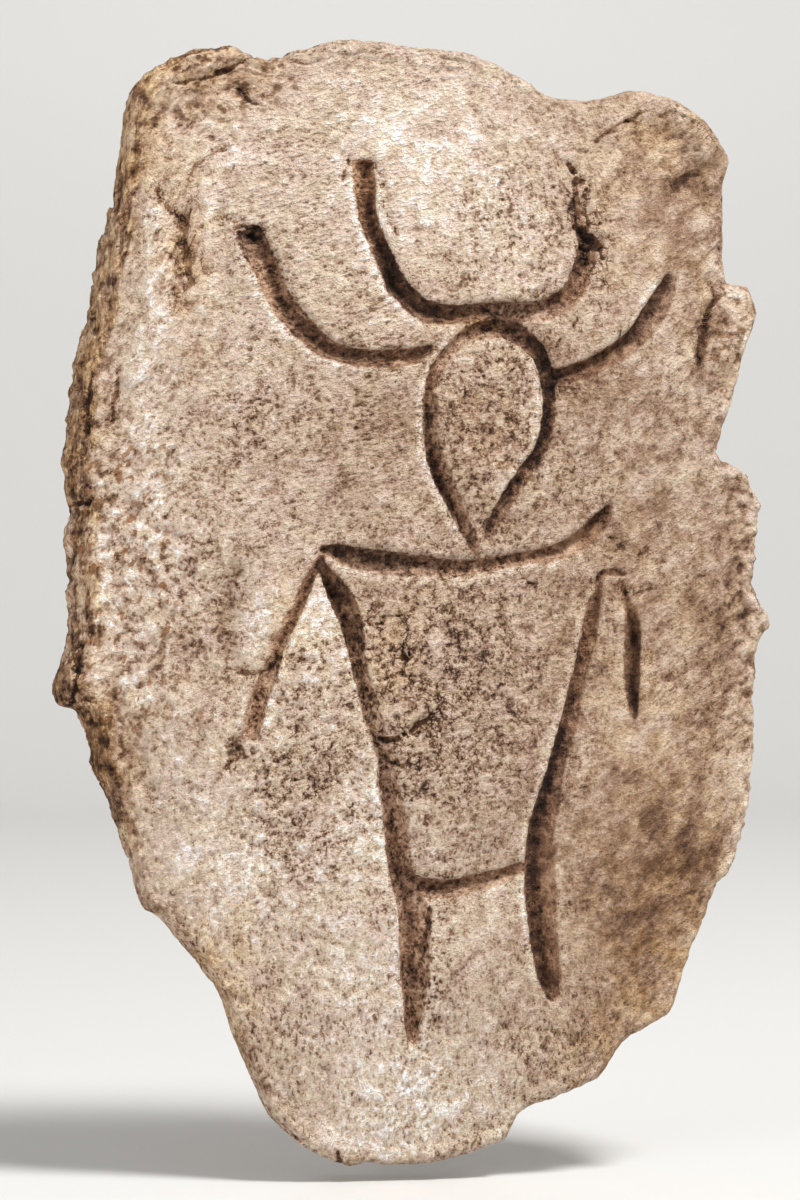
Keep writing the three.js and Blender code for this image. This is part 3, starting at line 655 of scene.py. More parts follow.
# %% Crack paths
# Each crack has a strength and a path of x, z and width in mm
CRACKS = {
    "above the left outer horn": (0.7, [
        (-42.2, 82, 1.0), (-41, 80.4, 1.1), (-38.9, 79.3, 1.2), (-36.2, 78.9, 1.0),
        (-34.1, 77.9, 1.0)]),
    "beside the inner left horn": (0.8, [(-16.3, 93, 1.5), (-16.8, 89, 0.9)]),
    "second lip of the inner left horn": (0.8, [
        (-10.5, 92.8, 0.9), (-8.4, 87.8, 1.0), (-9, 83.6, 0.9), (-5.8, 77.5, 0.8)]),
    "upper left tick": (0.5, [
        (-41.6, 95.6, 1.5), (-44.5, 94.3, 0.8), (-47.9, 92.2, 0.8), (-48.7, 90.2, 0.7)]),
    "end of the left outer horn": (0.7, [(-39.2, 77.5, 1.1), (-36.8, 77.2, 1.4), (-34.8, 76.6, 1.1)]),
    "second line of the left leg": (0.5, [
        (1.2, -61.5, 0.9), (0.8, -65, 1.5), (-0.7, -73.7, 1.4), (-1.5, -80, 0.8)]),
    "short left crevice": (0.6, [
        (-56.3, 88.5, 0.8), (-55.7, 85.6, 1.5), (-55.1, 83.5, 1.8), (-53, 82, 1.6),
        (-50.4, 81.2, 1.5), (-48.7, 83.1, 0.8)]),
    "long left crevice": (0.65, [
        (-50, 81, 1.4), (-50.4, 76, 2.4), (-49.6, 71, 2.2), (-49.1, 67.6, 1.8), (-50.4, 65.6, 1.1)]),
    "crevice's left branch": (0.5, [(-50.5, 76, 1.0), (-53, 73.5, 1.2), (-54.2, 70.5, 0.9)]),
    "crevice's right branch": (0.5, [(-49.6, 72, 0.9), (-47, 70.6, 1.0), (-45.4, 68.2, 0.8)]),
    "foot of the long crevice": (0.5, [(-53, 66.8, 0.9), (-52.5, 63.5, 1.2), (-53, 61, 0.8)]),
    "upper lump crack": (0.5, [(-53.9, 112.8, 0.9), (-48.8, 115.4, 1.2), (-41.2, 117, 0.9)]),
    "lower lump crack": (0.7, [
        (-52.6, 109.1, 1.2), (-46.3, 110.3, 1.1), (-42, 112.2, 1.4), (-38.7, 113.7, 1.0),
        (-34, 115.8, 0.8)]),
    "lump pit": (0.6, [(-49.8, 112, 1.4), (-48.4, 112.8, 1.2)]),
    "second lump pit": (0.6, [(-46.4, 113.5, 1.0), (-44.8, 114.2, 1.2)]),
    "lump hook": (0.8, [
        (-38.7, 108.2, 1.5), (-37, 106.2, 1.4), (-36.1, 104.9, 1.0), (-34, 105.6, 0.8)]),
    "roll crevice": (0.4, [(60.9, 92.6, 1.6), (57.4, 91.2, 3.0), (53.9, 87.7, 1.8)]),
    "roll crease": (0.5, [(37.5, 98.5, 1.0), (40.5, 100.7, 1.6), (43, 102, 1.7), (48.4, 105.3, 1.2)]),
    "flake crevice": (0.5, [
        (64.8, 66, 1.0), (62, 62.8, 1.6), (60.6, 58.5, 1.8), (59.9, 54.5, 1.5), (59.6, 51, 0.8)]),
    "flake shelf": (0.4, [(61.5, 58.2, 1.0), (66, 57.6, 1.3), (70.2, 58.4, 1.2)]),
    "flake top": (0.4, [(63.4, 66.2, 1.0), (67.6, 65.8, 0.9)]),
    "shatter top": (1.0, [
        (31.3, 93.4, 1.3), (32.4, 91.6, 1.9), (33.4, 90, 2.1), (35, 89.2, 1.0)]),
    "shatter line": (0.8, [(32.4, 89.5, 1.3), (32.2, 84, 1.3), (32.4, 79.6, 1.4)]),
    "shatter branch": (0.8, [
        (34.2, 89.7, 1.1), (34.8, 88.3, 1.2), (34.5, 85.7, 1.2), (34.7, 82.6, 1.3), (36.6, 80, 1.2)]),
    "shatter twig": (0.6, [(37.4, 84, 0.7), (37.2, 81.3, 0.9), (38.3, 80.4, 0.8)]),
    "shatter middle": (1.0, [
        (32.6, 79.8, 2.4), (34.7, 78.4, 3.0), (36.6, 76.9, 2.8), (37.9, 75.2, 1.9),
        (38.4, 73.2, 1.2)]),
    "shatter upper tick": (0.9, [(34.2, 75.9, 1.4), (36.5, 74.6, 1.0)]),
    "shatter middle tick": (0.9, [(33.6, 74.4, 1.4), (36.3, 71.7, 1.1)]),
    "shatter lower tick": (0.9, [(33.2, 72.3, 1.3), (35.9, 70.3, 1.0)]),
    "shatter last tick": (0.8, [(33, 70.2, 1.2), (34.9, 69.2, 0.9)]),
    "shatter curl": (0.7, [(36.9, 68.9, 0.8), (38.6, 68.2, 1.0), (37.6, 66.8, 1.0)]),
    "squiggle under the curl": (0.7, [(37.2, 63.2, 0.9), (37.9, 60.8, 1.0), (37.4, 58.6, 1.1)]),
    "nick above the right horn": (0.8, [(32.2, 60.6, 1.0), (31.9, 59.2, 1.0), (32.6, 58.2, 0.9)]),
    "nick beside the head": (0.7, [(28.5, 55.7, 0.8), (28.1, 54.4, 1.0), (28.7, 53.2, 0.8)]),
    "scratch below the right horn": (0.5, [(38.6, 48.7, 0.8), (40.4, 49.1, 1.0), (42, 48.9, 0.8)]),
    "scratch right of the head": (0.6, [(26.4, 45.9, 1.0), (30, 45.4, 1.2), (33.9, 45.9, 0.9)]),
    "head crack": (0.6, [(3.6, 46.6, 0.8), (5.2, 47.9, 0.9), (7.2, 47.2, 1.0), (7.4, 42.2, 0.8)]),
    "right shoulder": (0.7, [(20.1, 5.5, 0.9), (22.2, 3.9, 1.2), (24.8, 1.8, 0.9)]),
    "beyond the shoulder tip": (0.3, [(38.3, 20.5, 0.6), (38.6, 15.3, 0.7), (38.9, 9.4, 0.6)]),
    "dash below the tip": (0.6, [(39.3, 13.9, 0.8), (41.4, 13.4, 1.1)]),
    "second dash below the tip": (0.5, [(40.9, 12.2, 0.9), (42.3, 11.7, 1.2)]),
    "pit right of the tip": (0.5, [(45.9, 10.4, 1.4), (47.4, 11.7, 1.2)]),
    "mark right of the tip": (0.4, [(49, 18, 0.8), (50.2, 16.4, 1.2)]),
    "scratch right of the arm's top": (0.5, [
        (42, 3.2, 0.7), (44.2, 2.5, 1.0), (46.9, 2.5, 0.9), (49.1, 3.1, 0.7)]),
    "torso top": (0.7, [(-14.3, 1.1, 0.9), (-11.8, -2.3, 1.0), (-6.7, -2.3, 0.9), (-2.5, -0.6, 0.8)]),
    "torso left crack": (0.7, [
        (-15, -2.8, 0.8), (-12.4, -4.6, 1.0), (-9.5, -4.2, 0.9), (-7.3, -6.2, 0.8)]),
    "torso upper crack": (0.6, [
        (-9, -15.4, 0.8), (-5.9, -14.6, 1.0), (-3.2, -15.6, 0.9), (-1.2, -14.2, 0.7)]),
    "torso star": (0.9, [(-8, -10.5, 0.9), (-5.5, -11.4, 1.3), (-2.5, -9.3, 1.0), (-1.7, -8.9, 0.7)]),
    "torso star leg": (0.8, [(-5.4, -9, 0.8), (-5.4, -11.2, 1.1), (-4.9, -12.6, 0.8)]),
    "torso line": (0.6, [(-9.4, -20.6, 0.9), (-6, -20, 0.9), (-2.7, -19.3, 0.9), (0.3, -20.4, 0.8)]),
    "torso crack": (1.0, [
        (-9.6, -28.4, 1.5), (-6.6, -28.4, 1.3), (-4.6, -27, 1.3), (-3.1, -25.6, 1.8), (0, -23.8, 1.3),
        (2, -24.4, 0.8)]),
    "torso crack foot": (0.8, [(-4.6, -27, 1.0), (-2.5, -27.9, 1.0), (-1, -27.4, 0.7)]),
    "torso low crack": (0.8, [(-9, -31.8, 1.5), (-5.9, -33.7, 1.4), (-4.2, -34.1, 0.9)]),
    "torso low branch": (0.7, [(-5.9, -33.7, 1.0), (-2.5, -31.2, 1.0), (-0.9, -32.1, 0.8)]),
    "arm crease": (0.6, [
        (-41.7, -12.9, 0.8), (-39, -14.4, 1.1), (-34.8, -14.7, 1.5), (-32.1, -12.3, 1.1),
        (-30.3, -10.8, 0.8)]),
    "crease beside the arm": (0.5, [
        (-29.5, -11.3, 0.9), (-26.8, -11, 0.8), (-26.3, -12.2, 1.0), (-22.6, -11.8, 0.7)]),
    "arm end left pit": (0.55, [(-42.2, -29.9, 1.2), (-40.9, -29, 1.5)]),
    "arm end right pit": (0.5, [(-39.6, -29.4, 1.4), (-39, -31.2, 1.2)]),
    "arm end middle pit": (0.6, [(-41.3, -32.6, 1.8), (-40, -31.8, 1.4)]),
    "arm end lower pit": (0.5, [(-42.2, -34.2, 1.1), (-41.1, -33.9, 1.2)]),
    "left band crack": (0.7, [(-69.2, 48.6, 0.9), (-70.3, 40, 1.6), (-71.6, 30.5, 1.1)]),
    "left band inner crack": (0.6, [(-63.8, 49.7, 0.9), (-64.9, 44, 1.3), (-65.3, 38, 0.9)]),
    "left notch": (1.0, [(-75, 21.2, 1.8), (-71, 20.9, 1.4), (-69.4, 22.6, 0.9)]),
    "crack behind the left flake": (0.9, [(-71.8, -9.2, 1.2), (-73, -16, 1.7), (-74.6, -21.4, 1.4)]),
    "bottom notch": (0.8, [(-17.4, -115.5, 1.0), (-16.4, -119.5, 2.2)]),
}
print("cracks:", len(CRACKS))

# %% Crack relief
CRACK_MARGIN = 5.0
# Depth over width at full strength, and the greatest depth in mm
CRACK_DEPTH = 0.8
CRACK_MOST = 1.3
# How far a crack wanders from its path, and over what length it bends
WANDER = 0.8
WANDER_SIZE = 2.4
# How its width comes and goes: the mean, the swing and the length
WIDTH_MEAN = 0.75
WIDTH_SWING = 0.6
WIDTH_SIZE = 1.7
# How softly its edge breaks down, and how far round it the surface is crazed
CRACK_EDGE = 0.3
CRACK_HALO = 1.5
# Past the rim a crack dies out between these distances, or it would run on down the side wall
CRACK_FADE = (6.0, 12.0)

wander_x = x + WANDER * soft_noise(places / WANDER_SIZE, 24)
wander_z = z + WANDER * soft_noise(places / WANDER_SIZE, 25)
waxing = WIDTH_MEAN + WIDTH_SWING * soft_noise(places / WIDTH_SIZE, 26)
crack_cut = np.zeros(x.size)
crack_inside = np.full(x.size, -FAR)
crack_dark = np.zeros(x.size)
crack_near = np.zeros(x.size)
for strength, path in CRACKS.values():
    share, half, _, _ = near_path(wander_x, wander_z, path, CRACK_MARGIN)
    inside = np.clip(half * (waxing - share), -FAR, FAR)
    cut = strength * CRACK_DEPTH * 2 * np.clip(inside + CRACK_EDGE, 0, 1)
    crack_cut = np.maximum(crack_cut, cut)
    crack_dark = np.where(inside > crack_inside, strength, crack_dark)
    crack_inside = np.maximum(crack_inside, inside)
    crack_near = np.maximum(crack_near, np.exp(-(share * half / CRACK_HALO)**2))
crack_fade = 1 - ease(*CRACK_FADE, across)
crack_cut = np.minimum(crack_cut, CRACK_MOST) * crack_fade
crack_dark = crack_dark * crack_fade
print("deepest crack:", np.round(crack_cut.max(), 1), "mm")

# %% [markdown]
# ## Folds and lobes
# Between the dome and the grain the surface has folds, lobes and shallow valleys as wide as a
# finger. They could be more swells in the dome, but most are long and bent, so they are broad
# strokes: the same path measure as a crack's, raised or sunk softly across its width.

# %% Folds
# Each fold has a height, below 0 for a hollow, and a path of x, z and width in mm
FOLDS = {
    "ridge left of the long crevice": (0.9, [(-58, 88, 6), (-56, 73, 9), (-57, 58, 9), (-61, 47, 6)]),
    "ridge right of the long crevice": (0.7, [(-46.2, 88, 5), (-45, 75, 6), (-46.5, 62, 5)]),
    "bank of the long crevice": (-0.7, [(-51, 84, 5), (-50.5, 74, 6), (-52, 63, 5)]),
    "hollow beside the lobe": (-0.8, [(-40.4, 8, 4), (-42, 0, 6), (-41.8, -8, 6), (-39, -13, 4)]),
    "lobe beside the arm": (0.7, [(-33, 2, 7), (-36.5, -7, 9), (-38, -12, 7)]),
    "top left roll": (0.7, [(-57, 108, 6), (-50, 113, 8), (-40, 116, 7)]),
    "hollow under the top left roll": (-0.6, [(-55, 103, 5), (-46, 106, 7), (-37, 109, 5)]),
    "top right roll": (0.8, [(38.8, 104, 6), (47.5, 106, 8), (56.3, 104, 9), (62.5, 98, 7)]),
    "valley of the roll": (-0.9, [(50, 85, 5), (56, 90, 7), (63, 94, 5)]),
    "lobe below the roll": (0.7, [(59, 86, 8), (62, 78, 9), (62, 72, 6)]),
    "flake ridge": (0.9, [(67, 66, 6), (69.5, 60, 8), (66, 51.7, 6)]),
    "flake hollow": (-0.9, [(62, 63, 4), (60.5, 57, 5), (60, 50, 3)]),
    "right edge fold": (-0.5, [(66, 30, 6), (69, 20, 8), (68, 8, 8), (70, -4, 6)]),
    "left band ledge": (0.6, [(-68.5, 44, 4), (-68, 30, 5), (-69.5, 18, 5), (-68, 0, 5)]),
    "left flake": (0.6, [(-71, -8, 4), (-73, -16, 5)]),
    "left middle fold": (-0.5, [(-66, 24, 5), (-60, 18, 6), (-52, 14, 4)]),
    "lower left fold": (-0.5, [(-66, -18, 6), (-62, -28, 8), (-57, -40, 6)]),
    "roll over the inner horns": (0.5, [(8, 65.5, 4), (18, 66.5, 5), (26, 68, 5), (29.5, 74, 5)]),
}

FOLD_MARGIN = 8.0
FOLD_SLOPE = (0.1, 1.0)

fold = np.zeros(x.size)
for height, path in FOLDS.values():
    share, _, _, _ = near_path(x, z, path, FOLD_MARGIN)
    fold += height * (1 - ease(*FOLD_SLOPE, share))
print("folds:", len(FOLDS), "from", np.round(fold.min(), 1), "to", np.round(fold.max(), 1), "mm")

# %% [markdown]
# ## Where the surface is rough
# The real surface isn't equally rough: some places are granular, some crumble and some are rubbed
# smooth. A painted mask could say where. Here each place is a soft round area with a strength, so
# it can be moved or weakened by changing one number.

# %% Rough and smooth places
# Middle, half width, half height and strength of each granular, crumbling or smooth place
GRANULAR = {
    "between the inner horns": (17, 80, 12, 14, 0.9),
    "head": (14, 38, 11, 17, 1.0),
    "torso": (-2, -22, 14, 26, 0.7),
    "torso right": (14, -20, 12, 20, 0.4),
    "beside the arm": (-26, -38, 13, 22, 1.0),
    "left leg": (2, -72, 4, 16, 0.8),
    "below the left horn": (-33, 42, 12, 8, 0.6),
    "left middle": (-54, 8, 14, 24, 0.7),
    "top right hollow": (41, 97, 7, 8, 0.3),
    "left of the torso": (-24, -14, 7, 9, 0.7),
    "bottom": (-4, -103, 20, 12, 0.3),
}
CRUMBLY = {
    "left middle": (-62, 5, 12, 30, 1.0),
    "left crevices": (-53, 74, 10, 18, 0.5),
    "top left": (-48, 108, 16, 9, 1.0),
    "right edge": (71, 5, 7, 40, 0.7),
    "right flake": (67, 58, 7, 11, 0.8),
    "arm end": (-41, -33, 5, 5, 0.8),
}
SMOOTH = {
    "top right": (54, 88, 14, 22, 0.8),
    "right": (52, 30, 18, 24, 0.5),
    "lower right": (52, -50, 20, 34, 0.7),
    "thighs": (13, -76, 9, 14, 0.4),
    "top middle": (-4, 98, 18, 14, 0.5),
}


def clouds(areas):
    """The sum of soft round areas, each its strength times e^(-0.7 r^2), r in its own half sizes."""
    total = np.zeros(x.size)
    for cx, cz, width, height, strength in areas.values():
        total += strength * np.exp(-0.7 * (((x - cx) / width)**2 + ((z - cz) / height)**2))
    return total


# How granular and how crumbly an average place is, and how much a smooth place takes off that
GRANULAR_MEAN = 0.25
CRUMBLY_MEAN = 0.25
SMOOTH_GRAINS = 0.3
SMOOTH_CRUMBS = 0.2
# The rim crumbles more, from this many mm inside it
RIM_CRUMBS = 0.2
RIM_CRUMBS_FROM = -4
# Dark flecks never fade out further than this
FLECKED_LEAST = 0.15

granular = np.clip(GRANULAR_MEAN + clouds(GRANULAR) - SMOOTH_GRAINS * clouds(SMOOTH), 0, 1)
near_rim = RIM_CRUMBS * ease(RIM_CRUMBS_FROM, 0, across)
crumbly = CRUMBLY_MEAN + clouds(CRUMBLY) + near_rim - SMOOTH_CRUMBS * clouds(SMOOTH)
crumbly = np.clip(crumbly, 0, 1)
flecked = np.clip(1 - clouds(SMOOTH), FLECKED_LEAST, 1)
print("granular on average", np.round(granular.mean(), 2), "and crumbly", np.round(crumbly.mean(), 2))

# %% [markdown]
# ## Wrinkles, grains and pits
# The stone's grain changes direction over the slab: wrinkles run across the upper left, grains
# fill the middle, and short streaks run down the lower end. One noise texture would look the same
# everywhere. Three noises, each stretched its own way, share the slab between them, and where
# their sum falls low enough it breaks into pits.

# %% Grain of the stone
# Sizes in mm: one number, or one for each axis
UNDULATION_SIZES = (28, 10)
CRUMB_SIZE = 4.5
WRINKLE_SIZE = (3.0, 3, 1.3)
GRAIN_SIZE = 1.6
STREAK_SIZE = (1.3, 2, 2.8)
PATCH_SIZES = (12, 5)
# Wrinkles lie above the first heights and left of the second line; streaks lie below a height
LEVEL_ABOVE = (-10, 40)
LEVEL_LEFT_OF = (30, -15)
LEVEL_LESS = 0.8
UPRIGHT_BELOW = (-55, -90)
# The wrinkles' slope, and how much steeper they get towards the left
TILT = 0.22
TILT_MORE = 0.4
TILT_LEFT_OF = (-35, -65)
PIT_START = 0.1

solid_places = np.stack([x, depth, z], axis=-1)
undulation = (0.55 * soft_noise(places / UNDULATION_SIZES[0], 31)
              + 0.3 * soft_noise(places / UNDULATION_SIZES[1], 32))
crumbs = rough_noise(places / CRUMB_SIZE, 35, 3, 0.6)
level = ease(*LEVEL_ABOVE, z) * ease(*LEVEL_LEFT_OF, x)
level = level * (1 - LEVEL_LESS * np.clip(clouds(GRANULAR), 0, 1))
upright = ease(*UPRIGHT_BELOW, z)
tilt = TILT + TILT_MORE * ease(*TILT_LEFT_OF, x)
wrinkles = rough_noise(np.stack([x, depth, z - tilt * x], axis=-1) / WRINKLE_SIZE, 41, 2)
grains = rough_noise(solid_places / GRAIN_SIZE, 44, 2)
streaks = rough_noise(solid_places / STREAK_SIZE, 47, 2)
pitting = level * wrinkles + (1 - level - upright) * grains + upright * streaks
pits = np.maximum(0, -pitting - PIT_START)
patchy = soft_noise(places / PATCH_SIZES[0], 71) + 0.5 * soft_noise(places / PATCH_SIZES[1], 72)
patchy = ease(-0.5, 0.6, patchy)
print("share of the surface in pits:", np.round(np.mean(pits > 0), 2))

# %% [markdown]
# ## The torn side
# On the left and at the top the rim is torn, and layers show on the side wall like pages. They
# could be modelled as steps. Here folded noise, 1 - 2|n|, stretched along the rim, gives sharp
# ridges that come and go, and a wandering line says where the tear begins.

# %% Torn layers
# Along the rim the layers are this long, and across it this thick
LAYER_LENGTH = 8
LAYER_THICKNESS = 1.9
TEAR_WANDER = 1.8
TEAR_WANDER_SIZE = 8
# At these heights the tear reaches this much further in
TEAR_HIGH = (52, 66)
TEAR_FURTHER = 3.5
TEAR_EDGE = (-0.8, 0.8)
# How torn the rim is all round, and how much more at the top left
TORN_RIM = 0.35
TORN_TOP_LEFT = 0.65
TORN_RIM_START = (-5, 2)

left_side = facing(angle, 180, 0.2, 0.8) * ease(-0.85, -0.4, np.sin(angle))
tear_line = across + TEAR_WANDER * soft_noise(places / TEAR_WANDER_SIZE, 53)
tear_line = tear_line + TEAR_FURTHER * ease(*TEAR_HIGH, z) * left_side
band = left_side * ease(*TEAR_EDGE, tear_line)
round_rim = RIM_CIRCLE * np.stack([np.cos(angle), np.sin(angle)], axis=-1) / LAYER_LENGTH
side_place = np.concatenate([round_rim, across[:, None] / LAYER_THICKNESS], axis=-1)
layers = 1 - 2 * np.abs(rough_noise(side_place, 51, 2))
torn_rim = TORN_RIM + TORN_TOP_LEFT * facing(angle, 113, 0.75, 0.95)
torn = np.maximum(band, ease(*TORN_RIM_START, across) * torn_rim)
print("share of the surface that is torn:", np.round(np.mean(torn > 0.5), 2))

# %% [markdown]
# ## The whole relief
# All the parts are added up into one lift, in mm, along the direction in which each point faces.
# Stacked Displace modifiers could do the same, but a sum keeps every part's height in one place.

# %% Weathered relief
# Heights in mm. Pits are deeper in patches and on granular places
CRUMB_RISE = 0.42
GRAIN_RISE = 0.2
PIT_DEPTH = 0.3
PIT_PATCHY = 0.35
PIT_GRANULAR = 0.3
LAYER_RISE = 0.75
TORN_BACK = 0.2
LIP_RISE = 0.35
# The slab's waves are weaker within this distance of the rim, and all relief ends at the back
RIM_CALM = 0.7
RIM_CALM_FROM = -6
BACK_CALM = 4

calm_rim = 1 - RIM_CALM * ease(RIM_CALM_FROM, 0, across)
lift = (undulation * calm_rim + fold + CRUMB_RISE * crumbs * crumbly
        + GRAIN_RISE * pitting * (0.5 + granular)
        - (PIT_DEPTH + PIT_PATCHY * patchy + PIT_GRANULAR * granular) * pits
        + torn * (LAYER_RISE * layers - TORN_BACK) + LIP_RISE * lip - groove_cut - crack_cut)
lift = lift * ease(0, BACK_CALM, depth)
print("relief from", np.round(lift.min(), 1), "to", np.round(lift.max(), 1), "mm")

# %% [markdown]
# ## The slab's mesh
# The sheet is moved along its normals and closed with a flat back: two inner rings and a fan.
# A mesh could be built face by face with bmesh; whole numpy arrays are shorter and much faster
# at this size.

# %% Points of the slab
# The two inner rings of the back, as shares of its edge
BACK_SHARES = (0.93, 0.55)

sideways = lift * np.sin(turn)
x_moved = x + sideways * np.cos(angle)
z_moved = z + sideways * np.sin(angle)
depth_moved = depth + lift * np.cos(np.minimum(turn, np.pi / 2))

last_ring = slice(x.size - rim.size, x.size)
back_x = [x_moved[last_ring] * share for share in BACK_SHARES]
back_z = [z_moved[last_ring] * share for share in BACK_SHARES]
all_x = np.concatenate([x_moved, *back_x, [0.0]])
all_z = np.concatenate([z_moved, *back_z, [0.0]])
all_depth = np.concatenate([depth_moved, np.zeros(rim.size * len(BACK_SHARES) + 1)])
all_depth[x.size - rim.size:] = 0
vertices = np.stack([all_x, -all_depth, all_z], axis=-1) * MM
print("points:", len(vertices), "deepest", np.round(all_depth.max(), 1), "mm from the wall")

# %% Faces of the slab
grid_quads = np.stack([numbers[:-1, :-1], numbers[:-1, 1:], numbers[1:, 1:], numbers[1:, :-1]],
                      axis=-1).reshape(-1, 4)
rings = [rim]
for ring in range(len(ring_radius) + len(BACK_SHARES)):
    rings.append(front_x.size + ring * rim.size + np.arange(rim.size))
rings = np.array(rings)
rings_next = np.roll(rings, -1, axis=1)
ring_quads = np.stack([rings[:-1], rings[1:], rings_next[1:], rings_next[:-1]], axis=-1)
back_middle = len(vertices) - 1
fan = np.stack([rings[-1], np.full(rim.size, back_middle), rings_next[-1]], axis=-1)
triangles = 2 * (len(grid_quads) + ring_quads[..., 0].size) + len(fan)
print("faces:", len(grid_quads), "in front,", ring_quads[..., 0].size, "round the side and back,",
      len(fan), "in the fan")

# %% The slab as an object
mesh = bpy.data.meshes.new("weathered_slab")
faces = grid_quads.tolist() + ring_quads.reshape(-1, 4).tolist() + fan.tolist()
mesh.from_pydata(vertices.tolist(), [], faces)
mesh.shade_smooth()
slab = bpy.data.objects.new("weathered_slab", mesh)
bpy.context.scene.collection.objects.link(slab)
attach(slab, "root")
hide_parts("plaque_slab")
print("slab:", len(vertices), "points,", triangles, "triangles")

# %% [markdown]
# ## A flat map of the surface
# Whoever paints the slab's picture later needs the surface laid out flat. Blender can unwrap a
# mesh by itself; here every face already knows its place, so the front and the back are laid
# down as they are seen, and the side wall is two strips above them.

# %% Flat map
# Map units for a mm of the front and of the back, and the corner of both, in mm
FRONT_SCALE = 0.0032
BACK_SCALE = 0.0028
MAP_CORNER = np.array([78.0, 121.0])
# Where the front and the back start, and the two strips of the side wall
MAP_MARGIN = 0.01
BACK_LEFT = 0.54
STRIP_LOW = 0.81
STRIP_HEIGHT = 0.08
STRIP_STEP = 0.095

flat = np.stack([all_x, all_z], axis=-1)
front_map = MAP_MARGIN + (flat + MAP_CORNER) * FRONT_SCALE
back_map = (BACK_LEFT, MAP_MARGIN) + (flat * (-1, 1) + MAP_CORNER) * BACK_SCALE

half_rim = rim.size // 2
step = np.arange(rim.size)
strip_width = 1 - 2 * MAP_MARGIN
strip_u = MAP_MARGIN + strip_width * (step % half_rim) / half_rim
strip_v = STRIP_LOW + STRIP_STEP * (step // half_rim)
row_low = (STRIP_HEIGHT * np.arange(len(ring_radius)) / len(ring_radius))[:, None]
row_high = row_low + STRIP_HEIGHT / len(ring_radius)
u_near = np.broadcast_to(strip_u, (len(ring_radius), rim.size))
u_far = u_near + strip_width / half_rim
side_map = np.stack([np.stack([u_near, strip_v + row_low], axis=-1),
                     np.stack([u_near, strip_v + row_high], axis=-1),
                     np.stack([u_far, strip_v + row_high], axis=-1),
                     np.stack([u_far, strip_v + row_low], axis=-1)], axis=2)
flat_map = np.concatenate([front_map[grid_quads].reshape(-1, 2), side_map.reshape(-1, 2),
                           back_map[ring_quads[len(ring_radius):]].reshape(-1, 2),
                           back_map[fan].reshape(-1, 2)])
mesh.uv_layers.new(name="OFBake").data.foreach_set("uv", flat_map.astype(np.float32).ravel())
print("flat map spans", np.round(flat_map.min(axis=0), 2), "to", np.round(flat_map.max(axis=0), 2))
